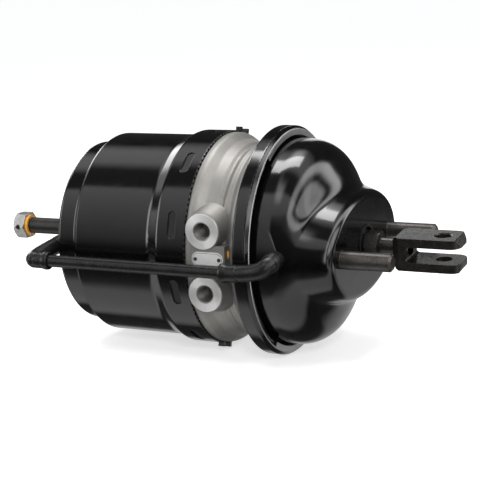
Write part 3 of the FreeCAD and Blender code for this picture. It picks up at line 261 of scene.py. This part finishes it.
def metal(name, dark, light, metallic, rough, thread=None):
    """Plated or phosphated steel with a mottled tone; a thread shows as fine ribs along X."""
    material, tree, shader = new_material(name)
    tone = remap(tree, noise(tree, scale=120.0, detail=6.0, roughness=0.6), low=0.0, high=1.0)
    tree.links.new(mixed(tree, tone, dark, light), shader.inputs["Base Color"])
    shader.inputs["Metallic"].default_value = metallic
    patches = noise(tree, scale=300.0, detail=4.0)
    spread = remap(tree, patches, low=rough - 0.07, high=rough + 0.09)
    tree.links.new(spread, shader.inputs["Roughness"])
    edges = soft_edges(tree, radius=0.4 * MM)
    grain = noise(tree, scale=900.0, detail=4.0)
    before = bump(tree, shader, grain, distance=0.12 * MM, strength=0.25, before=edges)
    if thread is not None:
        x, y, z = split(tree)
        turn = math_node(tree, "MULTIPLY", x, 2 * math.pi / thread)
        angle = math_node(tree, "ARCTAN2", y, z)
        wave = math_node(tree, "SINE", math_node(tree, "ADD", turn, angle))
        bump(tree, shader, wave, distance=0.2 * MM, strength=0.3, before=before)
    return material


def bordered_plate():
    """Bright blank plate with a line pressed just inside its rounded border; the line's dark colour is
    painted shade.
    """
    material, tree, shader = new_material("bare_plate")
    tone = remap(tree, noise(tree, scale=140.0, detail=5.0, roughness=0.6), low=0.0, high=1.0)
    colour = mixed(tree, tone, first=(0.66, 0.66, 0.65), second=(0.78, 0.78, 0.77))
    x, y, z = split(tree)
    centre = (plate_low + plate_high) / 2
    half_height = (plate_high.z - plate_low.z) / 2
    straight = (plate_high.x - plate_low.x) / 2 - half_height
    along = math_node(tree, "ABSOLUTE", math_node(tree, "SUBTRACT", x, centre.x))
    along = math_node(tree, "MAXIMUM", math_node(tree, "SUBTRACT", along, straight), 0.0)
    up = math_node(tree, "SUBTRACT", z, centre.z)
    square = math_node(tree, "MULTIPLY", up, up)
    radius = math_node(tree, "SQRT", math_node(tree, "MULTIPLY_ADD", along, along, square))
    line = math_node(tree, "COMPARE", radius, half_height - PLATE_LINE_INSET, PLATE_LINE_HALF)
    # Painted shade: the pressed line just inside the border is coloured dark grey
    colour = mixed(tree, line, colour, second=(0.12, 0.12, 0.12))
    tree.links.new(colour, shader.inputs["Base Color"])
    shader.inputs["Metallic"].default_value = 0.45
    rough = remap(tree, noise(tree, scale=300.0, detail=4.0), low=0.33, high=0.5)
    tree.links.new(rough, shader.inputs["Roughness"])
    edges = soft_edges(tree, radius=0.3 * MM)
    grain = noise(tree, scale=900.0, detail=4.0)
    skin = bump(tree, shader, grain, distance=0.1 * MM, strength=0.2, before=edges)
    groove = math_node(tree, "SUBTRACT", 1.0, line)
    bump(tree, shader, groove, distance=0.4 * MM, strength=0.6, before=skin)
    return material


def rubber(name, tone, rough, grain):
    """Moulded rubber or plastic, with paler patches and a faint skin."""
    material, tree, shader = new_material(name)
    pale = tuple(value * PALE_PATCH for value in tone)
    fade = remap(tree, noise(tree, scale=60.0, detail=5.0, roughness=0.6), low=0.0, high=1.0)
    tree.links.new(mixed(tree, fade, tone, pale), shader.inputs["Base Color"])
    patches = noise(tree, scale=160.0, detail=3.0)
    spread = remap(tree, patches, low=rough - 0.06, high=rough + 0.08)
    tree.links.new(spread, shader.inputs["Roughness"])
    shader.inputs["IOR"].default_value = 1.35
    bump(tree, shader, noise(tree, scale=grain, detail=3.0), distance=0.06 * MM, strength=0.14)
    return material


def orange_paint():
    """The coating of the ring under the release head, also used for the dab of paint."""
    material, tree, shader = new_material("orange_ring")
    fade = remap(tree, noise(tree, scale=240.0, detail=4.0), low=0.0, high=1.0)
    colour = mixed(tree, fade, first=(0.72, 0.28, 0.02), second=(0.9, 0.45, 0.06))
    tree.links.new(colour, shader.inputs["Base Color"])
    shader.inputs["Roughness"].default_value = 0.42
    bump(tree, shader, noise(tree, scale=900.0, detail=2.0), distance=0.1 * MM, strength=0.2)
    return material


ENAMEL = black_paint()
RING_ENAMEL = black_paint("ring_enamel", serrated_from=RING_FLANK_X)
CASTING = cast_aluminium()
BARE_PLATE = bordered_plate()
RIVET_STEEL = metal(
    "rivet_steel",
    dark=(0.05, 0.05, 0.05),
    light=(0.09, 0.09, 0.09),
    metallic=0.6,
    rough=0.35,
)
PHOSPHATE = metal(
    "phosphate_steel",
    dark=(0.012, 0.011, 0.0105),
    light=(0.028, 0.026, 0.024),
    metallic=0.5,
    rough=0.27,
)
STUD_STEEL = metal(
    "stud_steel",
    dark=(0.04, 0.036, 0.033),
    light=(0.07, 0.064, 0.059),
    metallic=0.7,
    rough=0.33,
    thread=THREAD_PITCH,
)
BOLT_STEEL = metal(
    "bolt_steel",
    dark=(0.016, 0.015, 0.014),
    light=(0.03, 0.028, 0.026),
    metallic=0.5,
    rough=0.4,
)
ZINC = metal(
    "zinc_steel",
    dark=(0.3, 0.3, 0.3),
    light=(0.4, 0.4, 0.39),
    metallic=0.8,
    rough=0.38,
)
SPRING_STEEL = metal(
    "spring_steel",
    dark=(0.05, 0.05, 0.055),
    light=(0.09, 0.09, 0.095),
    metallic=0.7,
    rough=0.45,
)
PISTON_CAST = metal(
    "piston_cast",
    dark=(0.35, 0.34, 0.33),
    light=(0.46, 0.45, 0.44),
    metallic=0.75,
    rough=0.48,
)
RUBBER = rubber("black_rubber", tone=(0.006, 0.006, 0.0063), rough=0.45, grain=700.0)
ELBOW_RUBBER = rubber("elbow_rubber", tone=(0.005, 0.005, 0.0053), rough=0.3, grain=500.0)
TUBE_PLASTIC = rubber("tube_plastic", tone=(0.006, 0.006, 0.0063), rough=0.24, grain=260.0)
BLACK_PLASTIC = rubber("black_plastic", tone=(0.012, 0.012, 0.012), rough=0.45, grain=600.0)
ORANGE = orange_paint()

NODE_MATERIALS = {
    "spring_housing": ENAMEL,
    "service_housing": ENAMEL,
    "clamp_ring": RING_ENAMEL,
    "flange_body": CASTING,
    "nameplate": BARE_PLATE,
    "nameplate_rivets": RIVET_STEEL,
    "mounting_studs": STUD_STEEL,
    "push_rod": PHOSPHATE,
    "lock_nut": PHOSPHATE,
    "clevis": PHOSPHATE,
    "push_plate": ZINC,
    "clamp_bolt": ZINC,
    "clamp_nut": ZINC,
    "release_bolt": BOLT_STEEL,
    "release_head": ZINC,
    "release_pin": BOLT_STEEL,
    "release_thrust_washer": ZINC,
    "release_boss": ZINC,
    "piston_tube": ZINC,
    "seal_retainer": ZINC,
    "release_washer": ORANGE,
    "power_spring": SPRING_STEEL,
    "return_spring": SPRING_STEEL,
    "spring_piston": PISTON_CAST,
    "tube_end_cap": BLACK_PLASTIC,
    "flange_bush": BLACK_PLASTIC,
    "piston_guide_ring": BLACK_PLASTIC,
    "breather_tube": TUBE_PLASTIC,
    "dust_guard": RUBBER,
    "diaphragm": RUBBER,
    "rod_seal": RUBBER,
    "housing_o_ring": RUBBER,
    "piston_seal": RUBBER,
    "front_elbow": ELBOW_RUBBER,
    "rear_elbow": ELBOW_RUBBER,
}
for name, material in NODE_MATERIALS.items():
    material_slot = nodes[name].material_slots[0]
    material_slot.link = "OBJECT"
    material_slot.material = material
    polygons = nodes[name].data.polygons
    polygons.foreach_set("use_smooth", [True] * len(polygons))


# Pieces that only the eye needs

TEETH = 120
TOOTH_WIDE, TOOTH_HIGH, TOOTH_BEVEL = 2.2 * MM, 1.9 * MM, 0.5 * MM
TOOTH_LENGTH, TOOTH_VARIES, TOOTH_BEAT = 3.0, 0.5, 2.4
TOOTH_BACK, TOOTH_DOWN = 0.2 * MM, 1.1 * MM
DAB_CENTRE = Vector((-94.0 * MM, -89.9 * MM, 5.7 * MM))
DAB_ALONG, DAB_DEEP, DAB_HIGH = 1.9 * MM, 0.9 * MM, 3.2 * MM
DAB_WOBBLE, DAB_WAVE_X, DAB_WAVE_Z, DAB_BEAT = 0.16, 5.0, 3.0, 4.0


def finish_piece(name, mesh, material):
    """A smooth piece of the chamber's body, with its material."""
    for polygon in mesh.polygons:
        polygon.use_smooth = True
    mesh.materials.append(material)
    piece = bpy.data.objects.new(name, mesh)
    bpy.context.scene.collection.objects.link(piece)
    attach(piece, "chamber")
    return piece


def rounded_block(shape, centre, size, turn, bevel):
    """Adds one small rounded block to a bmesh."""
    made = bmesh.ops.create_cube(shape, size=1.0)
    verts = made["verts"]
    bmesh.ops.scale(shape, vec=size, verts=verts)
    edges = list({edge for vert in verts for edge in vert.link_edges})
    rounded = bmesh.ops.bevel(
        shape, geom=edges, offset=bevel, segments=2, affect="EDGES", profile=0.6
    )
    moved = {vert for face in rounded["faces"] for vert in face.verts}
    moved |= {vert for vert in verts if vert.is_valid}
    bmesh.ops.transform(shape, matrix=Matrix.Translation(centre) @ turn, verts=list(moved))


def make_crimp_teeth():
    """The rolled edge of the spring housing, cut into short teeth against the casting."""
    shape = bmesh.new()
    for index in range(TEETH):
        turn = Matrix.Rotation(2 * math.pi * index / TEETH, 4, "X")
        length = (TOOTH_LENGTH + TOOTH_VARIES * math.sin(index * TOOTH_BEAT)) * MM
        centre = turn @ Vector((RIM_X - TOOTH_BACK, 0.0, RIM_RADIUS - TOOTH_DOWN))
        rounded_block(shape, centre, (TOOTH_WIDE, length, TOOTH_HIGH), turn, TOOTH_BEVEL)
    mesh = bpy.data.meshes.new("crimp_teeth")
    shape.to_mesh(mesh)
    shape.free()
    finish_piece("crimp_teeth", mesh, ENAMEL)


def make_paint_dot():
    """The inspector's dab of orange paint on the casting beside the plate."""
    shape = bmesh.new()
    bmesh.ops.create_icosphere(shape, subdivisions=4, radius=1.0)
    for vert in shape.verts:
        x, y, z = vert.co
        wave = math.sin(DAB_WAVE_X * x + DAB_WAVE_Z * z) * math.cos(DAB_BEAT * z)
        wobble = 1.0 + DAB_WOBBLE * wave
        vert.co = DAB_CENTRE + Vector((x * DAB_ALONG * wobble, y * DAB_DEEP, z * DAB_HIGH * wobble))
    mesh = bpy.data.meshes.new("paint_dot")
    shape.to_mesh(mesh)
    shape.free()
    finish_piece("paint_dot", mesh, ORANGE)


# Moulded elbows: a route, and the outer radius at places along it

SPLINE_SAMPLES, MOULD_AROUND, MOULD_PITCH = 40, 48, 0.35 * MM
# The mouth's inside: how deep, and how much smaller than the mouth's edge
MOUTH = ((0.0, 1.6), (6.0, 1.7))


def spline(points, samples):
    """Points of a clamped quadratic B-spline over the route's corners."""
    points = [Vector(point) * MM for point in points]
    joints = [points[0]]
    joints += [(a + b) / 2 for a, b in zip(points[1:-1], points[2:-1])]
    joints.append(points[-1])
    line = []
    for start, middle, end in zip(joints, points[1:-1], joints[1:]):
        for step in range(samples):
            share = step / samples
            line.append(
                start * (1 - share) ** 2 + middle * (2 * share * (1 - share)) + end * share**2
            )
    line.append(points[-1])
    return line


def eased(stops, where):
    """A value between the stops (place, value), joined smoothly."""
    for (first, low), (second, high) in zip(stops, stops[1:]):
        if where <= second:
            share = (where - first) / (second - first)
            share = share * share * (3 - 2 * share)
            return low + (high - low) * share
    return stops[-1][1]


def ring_of(shape, centre, side, other, radius):
    turns = (2 * math.pi * step / MOULD_AROUND for step in range(MOULD_AROUND))
    return [
        shape.verts.new(centre + side * (radius * math.cos(turn)) + other * (radius * math.sin(turn)))
        for turn in turns
    ]


def join_rings(shape, rings):
    """Faces between each ring of vertices and the next."""
    for before, after in zip(rings, rings[1:]):
        count = len(before)
        for step in range(count):
            follow = (step + 1) % count
            shape.faces.new((before[step], before[follow], after[follow], after[step]))


def moulded_elbow(name, route, stops, node):
    """A moulding with an open mouth along a route, which stands for an elbow's node."""
    line = spline(route, SPLINE_SAMPLES)
    length = [0.0]
    for before, here in zip(line, line[1:]):
        length.append(length[-1] + (here - before).length)
    # Even rings, close enough for the grooves
    rings = []
    count = int(length[-1] / MOULD_PITCH)
    index = 0
    for ring in range(count + 1):
        where = length[-1] * ring / count
        while index < len(line) - 2 and length[index + 1] < where:
            index += 1
        share = (where - length[index]) / (length[index + 1] - length[index])
        ahead = (line[index + 1] - line[index]).normalized()
        rings.append((line[index].lerp(line[index + 1], share), ahead, where))
    shape = bmesh.new()
    side = rings[0][1].orthogonal().normalized()
    loops = []
    for centre, ahead, where in rings:
        side = (side - ahead * side.dot(ahead)).normalized()
        other = ahead.cross(side)
        radius = eased(stops, where / MM) * MM
        loops.append(ring_of(shape, centre, side, other, radius))
    # The mouth turns in to its bore, so the open end has a wall
    start, ahead, _ = rings[0]
    inner = []
    side = ahead.orthogonal().normalized()
    other = ahead.cross(side)
    for depth, shrink in MOUTH:
        radius = (stops[0][1] - shrink) * MM
        inner.append(ring_of(shape, start + ahead * depth * MM, side, other, radius))
    loops = inner[::-1] + loops
    join_rings(shape, loops)
    shape.faces.new(loops[0][::-1])
    shape.faces.new(loops[-1])
    bmesh.ops.recalc_face_normals(shape, faces=shape.faces)
    mesh = bpy.data.meshes.new(name)
    shape.to_mesh(mesh)
    shape.free()
    piece = finish_piece(name, mesh, ELBOW_RUBBER)
    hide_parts(node)


# Pressed service housing, in mm: a round shoulder and cone, and a raised oval lobe blended in.
# A depth is measured back from the mounting face.

LIP_RADIUS, LIP_LEFT, LIP_RIGHT, LIP_BEVEL = 99.5, -75.5, -72.5, 2.1
NECK_RADIUS, NECK_BEND, WALL = 94.0, 2.5, 3.0
SHOULDER_DEPTH, SHOULDER_RADIUS, SHOULDER_BEND = 36.0, 93.3, 34.0
CONE_ANGLE = math.radians(62.0)
FACE_LENGTH, FACE_HEIGHT, FACE_BEND = 81.0, 46.0, 5.5
LOBE_SPREAD, LOBE_SPREAD_DEPTH, LOBE_SLOPE = 13.2, 19.0, 0.35
GUARD_HOLE, VALLEY_BLEND = 18.05, 8.0
SHELL_AROUND, SHELL_PITCH, SHELL_ARC = 288, 0.75, 10
# Rings on the flat face, as a share of the way from the guard's hole to the edge
FACE_RINGS = (0.985, 0.95, 0.88, 0.76, 0.6, 0.4, 0.2, 0.0)
LIP_ARC = 15
SHARP_EDGE = math.radians(35.0)
# How far from the axis a point's outward side is as much sideways as ahead
OUTWARD_REACH = 50.0


def side_radius(depth):
    """The side wall, which tapers a little from the neck to the shoulder."""
    taper = (NECK_RADIUS - SHOULDER_RADIUS) * (depth - SHOULDER_DEPTH)
    return SHOULDER_RADIUS + taper / (-LIP_RIGHT - SHOULDER_DEPTH)


def cone_radius(depth):
    """The body of revolution: neck, bent shoulder and straight cone."""
    start = SHOULDER_DEPTH + SHOULDER_BEND * math.tan(CONE_ANGLE / 2)
    if depth >= start:
        return side_radius(depth)
    level = side_radius(start)
    run = start - depth
    if run <= SHOULDER_BEND * math.sin(CONE_ANGLE):
        return level - SHOULDER_BEND + math.sqrt(SHOULDER_BEND**2 - run**2)
    foot = level - SHOULDER_BEND * (1 - math.cos(CONE_ANGLE))
    return foot - (run - SHOULDER_BEND * math.sin(CONE_ANGLE)) * math.tan(CONE_ANGLE)


def lobe_radius(angle, depth):
    """The oval lobe, which widens as it goes down into the cone."""
    half_length = FACE_LENGTH + LOBE_SPREAD * (1 - math.exp(-depth / LOBE_SPREAD_DEPTH))
    half_height = FACE_HEIGHT + LOBE_SLOPE * depth
    across, up = half_height * math.cos(angle), half_length * math.sin(angle)
    return half_length * half_height / math.hypot(across, up)


def housing_radius(angle, depth):
    """The larger of cone and lobe, with a filled valley and the face's rounded edge."""
    cone, lobe = cone_radius(depth), lobe_radius(angle, depth)
    near = max(VALLEY_BLEND - abs(cone - lobe), 0.0) / VALLEY_BLEND
    radius = min(max(cone, lobe) + near**2 * VALLEY_BLEND / 4, NECK_RADIUS)
    if depth < FACE_BEND:
        radius -= FACE_BEND - math.sqrt(FACE_BEND**2 - (FACE_BEND - depth) ** 2)
    return radius


def around_axis(x, radius, angle):
    return Vector((x, radius * math.cos(angle), radius * math.sin(angle)))


def make_service_shell():
    """The pressed housing as one closed skin: outside, inside and rim."""
    angles = [2 * math.pi * step / SHELL_AROUND for step in range(SHELL_AROUND)]
    neck_start = -LIP_RIGHT - NECK_BEND
    count = int((neck_start - FACE_BEND) / SHELL_PITCH) + 1
    depths = [neck_start - SHELL_PITCH * row for row in range(count)]
    arc = range(SHELL_ARC, 91, SHELL_ARC)
    depths += [FACE_BEND * (1 - math.sin(math.radians(step))) for step in arc]
    rows = []
    for depth in depths:
        rows.append([(-depth, housing_radius(angle, max(depth, 0.0))) for angle in angles])
    edge = [point[1] for point in rows[-1]]
    for share in FACE_RINGS:
        rows.append([(0.0, GUARD_HOLE + (radius - GUARD_HOLE) * share) for radius in edge])
    points = [
        [around_axis(x, radius, angle) for (x, radius), angle in zip(row, angles)] for row in rows
    ]
    # The inner skin lies one wall in, square to the outer one
    inner = []
    for index, row in enumerate(points):
        before, after = points[max(index - 1, 0)], points[min(index + 1, len(points) - 1)]
        skin = []
        for step in range(SHELL_AROUND):
            along = after[step] - before[step]
            turned = row[(step + 1) % SHELL_AROUND] - row[step - 1]
            normal = turned.cross(along).normalized()
            outward = Vector((1.0, row[step].y / OUTWARD_REACH, row[step].z / OUTWARD_REACH))
            if normal.dot(outward) < 0:
                normal = -normal
            skin.append(row[step] - normal * WALL)
        inner.append(skin)
    inner[-1] = [Vector((-WALL, point.y, point.z)) for point in points[-1]]
    # Rim: flat back, lip with its bevel, and the bend into the neck
    bend = [math.radians(step) for step in range(0, 90, LIP_ARC)]
    rim = [(LIP_LEFT, NECK_RADIUS - WALL), (LIP_LEFT, LIP_RADIUS)]
    rim += [(LIP_RIGHT - LIP_BEVEL, LIP_RADIUS), (LIP_RIGHT, LIP_RADIUS - LIP_BEVEL)]
    rim += [
        (
            LIP_RIGHT + NECK_BEND * (1 - math.cos(turn)),
            NECK_RADIUS + NECK_BEND * (1 - math.sin(turn)),
        )
        for turn in bend
    ]
    loops = inner[::-1]
    loops += [[around_axis(x, radius, angle) for angle in angles] for x, radius in rim]
    loops += points
    shape = bmesh.new()
    made = [[shape.verts.new(point * MM) for point in loop] for loop in loops]
    join_rings(shape, made + made[:1])
    bmesh.ops.recalc_face_normals(shape, faces=shape.faces)
    for joint in shape.edges:
        joint.smooth = joint.calc_face_angle(0.0) < SHARP_EDGE
    mesh = bpy.data.meshes.new("service_shell")
    shape.to_mesh(mesh)
    shape.free()
    piece = finish_piece("service_shell", mesh, ENAMEL)
    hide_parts("service_housing")


def make_return_coil():
    """The return spring again, copied unchanged as a piece of the chamber's body."""
    spring = nodes["return_spring"]
    mesh = spring.data.copy()
    mesh.materials.clear()
    piece = finish_piece("return_coil", mesh, SPRING_STEEL)
    piece.matrix_world = spring.matrix_world.copy()
    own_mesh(piece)
    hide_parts("return_spring")


# The elbows, in mm: corners of each route, then (distance along it, outer radius)

TUBE_Y, TUBE_Z = -113.0, -4.3
FRONT_FOOT_X, FRONT_FOOT_Z = -47.0, 4.7
FRONT_ROUTE = (
    (-90.0, TUBE_Y, TUBE_Z),
    (-72.0, TUBE_Y, TUBE_Z),
    (-52.0, TUBE_Y - 1.0, TUBE_Z + 3.5),
    (-46.0, TUBE_Y + 3.0, FRONT_FOOT_Z),
    (FRONT_FOOT_X, -98.0, FRONT_FOOT_Z),
    (FRONT_FOOT_X, -89.0, FRONT_FOOT_Z),
)
FRONT_MOUTH = ((0.0, 7.4), (0.8, 8.3), (3.0, 8.7), (5.8, 7.8), (7.0, 7.5), (16.2, 7.5))
FRONT_GROOVE = ((16.8, 6.4), (17.8, 6.4), (18.6, 7.3), (30.0, 7.2), (46.0, 7.4), (49.0, 7.4))
FRONT_COLLAR = ((49.6, 8.3), (51.4, 8.3), (52.0, 7.3), (52.8, 7.3), (53.4, 7.9))
FRONT_FOOT = ((56.5, 8.0), (90.0, 8.2))
REAR_BEND_X = -281.0
REAR_ROUTE = (
    (-262.0, TUBE_Y, TUBE_Z),
    (-272.0, TUBE_Y, TUBE_Z),
    (REAR_BEND_X, TUBE_Y, TUBE_Z),
    (REAR_BEND_X, TUBE_Y + 13.0, TUBE_Z + 2.0),
    (-279.5, -74.0, 0.3),
    (-278.5, -62.0, 0.7),
    (-271.5, -60.0, 0.7),
)
REAR_MOUTH = ((0.0, 7.4), (0.8, 8.1), (3.0, 8.3), (5.4, 8.0))
REAR_GROOVES = ((6.4, 6.9), (7.2, 6.8), (8.0, 7.4), (13.5, 7.4), (14.2, 6.7), (15.0, 6.7))
REAR_FOOT = ((15.8, 7.5), (30.0, 7.6), (50.0, 7.9), (62.0, 8.6), (90.0, 9.4))

make_service_shell()
make_return_coil()
make_crimp_teeth()
make_paint_dot()
moulded_elbow(
    "front_elbow_moulding",
    FRONT_ROUTE,
    FRONT_MOUTH + FRONT_GROOVE + FRONT_COLLAR + FRONT_FOOT,
    "front_elbow",
)
moulded_elbow(
    "rear_elbow_moulding",
    REAR_ROUTE,
    REAR_MOUTH + REAR_GROOVES + REAR_FOOT,
    "rear_elbow",
)


# Floor, light and camera

FLOOR_HALF, FLOOR_DROP = 9.0, 0.5 * MM
FLOOR_TONE, FLOOR_GLOW = (0.93, 0.93, 0.93, 1.0), 0.62


def make_floor():
    """A wide white floor under the part; it keeps the shadow and fades into the background."""
    material, tree, shader = new_material("white_floor")
    tree.nodes.remove(shader)
    output = next(node for node in tree.nodes if node.type == "OUTPUT_MATERIAL")
    matt = add(tree, "ShaderNodeBsdfDiffuse")
    matt.inputs["Color"].default_value = FLOOR_TONE
    glow = add(tree, "ShaderNodeEmission")
    path = add(tree, "ShaderNodeLightPath")
    strength = math_node(tree, "MULTIPLY", path.outputs["Is Camera Ray"], FLOOR_GLOW)
    tree.links.new(strength, glow.inputs["Strength"])
    both = add(tree, "ShaderNodeAddShader")
    tree.links.new(matt.outputs[0], both.inputs[0])
    tree.links.new(glow.outputs[0], both.inputs[1])
    tree.links.new(both.outputs[0], output.inputs["Surface"])
    level = cad_low.z - FLOOR_DROP
    corners = [(x * FLOOR_HALF, y * FLOOR_HALF, level) for x, y in ((-1, -1), (1, -1), (1, 1), (-1, 1))]
    mesh = bpy.data.meshes.new("floor")
    mesh.from_pydata(corners, [], [(0, 1, 2, 3)])
    mesh.materials.append(material)
    floor = bpy.data.objects.new("floor", mesh)
    bpy.context.scene.collection.objects.link(floor)
    floor.visible_glossy = False


# What gloss sees round the push rod's axis: degrees up from the front, and how bright.
# A screen from the front up to 62 degrees, a ceiling panel behind it, and a pale floor.

REFLECTED = (
    (-180, 0.05), (-167.5, 0.05), (-165, 0.7), (-140, 0.7), (-132, 0.08), (-104, 0.08),
    (-95, 1.1), (-60, 1.4), (-50, 0.3), (-40, 0.12), (-6, 0.06), (4, 0.5), (34, 1.15),
    (62, 1.8), (66, 0.16), (88, 0.16), (99, 1.7), (118, 1.4), (132, 0.05), (180, 0.05),
)
# Standing cards: from and to along X, from and to in height, and how bright
CARDS = (
    ((-0.86, -0.8, -0.7, -0.62), (-0.1, 0.05, 0.45, 0.6), 6.0),
    ((0.46, 0.54, 0.62, 0.72), (-0.2, 0.1, 0.8, 0.92), 4.6),
    ((0.74, 0.8, 1.1, 1.2), (0.2, 0.3, 0.6, 0.7), 4.0),
    ((-0.34, -0.14, -0.04, 0.18), (0.74, 0.88, 0.92, 1.0), 3.2),
    ((-0.4, -0.33, -0.27, -0.22), (-0.12, 0.02, 0.3, 0.42), 2.0),
    ((0.74, 0.8, 0.9, 0.95), (-0.45, -0.3, 0.0, 0.1), 1.4),
)
ROOM_LEVEL = 0.8
# The dark half of the room in front, to the right of the screen's edge
DARK_ALONG, DARK_UP, DARK_SHARE = (-0.26, -0.2, 0.7, 0.85), (-0.62, -0.45, 0.52, 0.66), 0.9
DARK_AHEAD = 0.1
WHITE = (1.0, 1.0, 1.0, 1.0)
FILL_TONE, FILL_LEVEL = (0.97, 0.98, 1.0, 1.0), 0.4
FULL_TURN = 360


def smooth_step(tree, value, low, high):
    node = add(tree, "ShaderNodeMapRange", interpolation_type="SMOOTHSTEP")
    node.inputs["From Min"].default_value = low
    node.inputs["From Max"].default_value = high
    tree.links.new(value, node.inputs["Value"])
    return node.outputs["Result"]


def window(tree, value, edges):
    """One between the middle two edges, falling softly to nothing at the outer two."""
    rise = smooth_step(tree, value, edges[0], edges[1])
    fall = smooth_step(tree, value, edges[2], edges[3])
    return math_node(tree, "SUBTRACT", rise, fall)


def panel(tree, way, along, up):
    """One inside a patch of the room, given from and to along X and in height."""
    return math_node(
        tree,
        "MULTIPLY",
        window(tree, way.outputs["X"], along),
        window(tree, way.outputs["Z"], up),
    )


def make_world():
    """White to the camera. Gloss sees a studio of soft bands and a few standing cards."""
    world = bpy.data.worlds.new("studio")
    bpy.context.scene.world = world
    world.use_nodes = True
    tree = world.node_tree
    tree.nodes.clear()
    output = add(tree, "ShaderNodeOutputWorld")
    fill = add(tree, "ShaderNodeBackground")
    fill.inputs["Color"].default_value = FILL_TONE
    fill.inputs["Strength"].default_value = FILL_LEVEL
    white = add(tree, "ShaderNodeBackground")
    white.inputs["Color"].default_value = WHITE
    path = add(tree, "ShaderNodeLightPath")
    way = add(tree, "ShaderNodeSeparateXYZ")
    tree.links.new(add(tree, "ShaderNodeTexCoord").outputs["Generated"], way.inputs["Vector"])
    ahead = math_node(tree, "MULTIPLY", way.outputs["Y"], -1.0)
    turn = math_node(tree, "ARCTAN2", way.outputs["Z"], ahead)
    ramp = add(tree, "ShaderNodeValToRGB")
    ramp.color_ramp.interpolation = "LINEAR"
    stops = ramp.color_ramp.elements
    while len(stops) < len(REFLECTED):
        stops.new(0.5)
    # Moving a stop can change their order, so the levels come after all the moves
    for stop, (degrees, level) in zip(stops, REFLECTED):
        stop.position = degrees / FULL_TURN + 0.5
    for stop, (degrees, level) in zip(stops, REFLECTED):
        stop.color = (level, level, level, 1.0)
    tree.links.new(math_node(tree, "MULTIPLY_ADD", turn, 0.5 / math.pi, 0.5), ramp.inputs["Fac"])
    in_front = smooth_step(tree, ahead, 0.0, DARK_AHEAD)
    dark = math_node(tree, "MULTIPLY", panel(tree, way, DARK_ALONG, DARK_UP), in_front)
    kept = math_node(tree, "MULTIPLY_ADD", dark, -DARK_SHARE, 1.0)
    studio = math_node(tree, "MULTIPLY", ramp.outputs["Color"], kept)
    for along, up, level in CARDS:
        studio = math_node(tree, "MULTIPLY_ADD", panel(tree, way, along, up), level, studio)
    studio = math_node(tree, "MULTIPLY", studio, ROOM_LEVEL)
    reflected = math_node(
        tree, "MAXIMUM", path.outputs["Is Glossy Ray"], path.outputs["Is Transmission Ray"]
    )
    strength = math_node(
        tree,
        "MAXIMUM",
        path.outputs["Is Camera Ray"],
        math_node(tree, "MULTIPLY", reflected, studio),
    )
    tree.links.new(strength, white.inputs["Strength"])
    seen = math_node(tree, "MAXIMUM", path.outputs["Is Camera Ray"], reflected)
    blend = add(tree, "ShaderNodeMixShader")
    tree.links.new(seen, blend.inputs[0])
    tree.links.new(fill.outputs[0], blend.inputs[1])
    tree.links.new(white.outputs[0], blend.inputs[2])
    tree.links.new(blend.outputs[0], output.inputs["Surface"])


# Where each lamp is, what it looks at, its width and height, its power, and if gloss shows it
LAMPS = {
    "top_box": ((-0.2, 0.25, 1.15), (-0.12, 0.0, 0.0), (0.8, 0.35), 8.0, True),
    "key_box": ((-0.1, -0.7, 0.9), (-0.05, 0.0, 0.0), (0.3, 0.3), 5.0, False),
    "front_box": ((0.5, -1.2, 0.6), (-0.1, 0.0, 0.0), (0.25, 0.25), 6.0, False),
}


def area_light(name, where, target, size, power, mirrored):
    data = bpy.data.lights.new(name, "AREA")
    data.shape = "RECTANGLE"
    data.size, data.size_y = size
    data.energy = power
    light = bpy.data.objects.new(name, data)
    bpy.context.scene.collection.objects.link(light)
    light.visible_glossy = mirrored
    turn = (Vector(target) - Vector(where)).to_track_quat("-Z", "Y")
    light.matrix_world = Matrix.Translation(where) @ turn.to_matrix().to_4x4()


# The photograph's own view, from a fit of the part's rims and studs: place, the way back from
# what it looks at, the upright before its roll, and the lens in mm

CAMERA_PLACE = (0.41237, -1.09454, 0.27193)
CAMERA_BACK = Vector((0.43009, -0.87561, 0.21985))
CAMERA_UPRIGHT = Vector((-0.09693, 0.19733, 0.97553))
CAMERA_YAW, CAMERA_ROLL = math.radians(26.16), math.radians(-2.79)
CAMERA_LENS, CAMERA_SENSOR = 100.49, 36.0


def make_camera():
    level = Vector((math.cos(CAMERA_YAW), math.sin(CAMERA_YAW), 0.0))
    right = level * math.cos(CAMERA_ROLL) + CAMERA_UPRIGHT * math.sin(CAMERA_ROLL)
    up = CAMERA_UPRIGHT * math.cos(CAMERA_ROLL) - level * math.sin(CAMERA_ROLL)
    data = bpy.data.cameras.new("camera")
    data.lens = CAMERA_LENS
    data.sensor_width = CAMERA_SENSOR
    camera = bpy.data.objects.new("camera", data)
    bpy.context.scene.collection.objects.link(camera)
    rotation = Matrix((right, up, CAMERA_BACK)).transposed().to_4x4()
    camera.matrix_world = Matrix.Translation(CAMERA_PLACE) @ rotation
    bpy.context.scene.camera = camera


make_floor()
make_world()
for name, settings in LAMPS.items():
    area_light(name, *settings)
make_camera()
bpy.context.scene.view_settings.view_transform = "Standard"
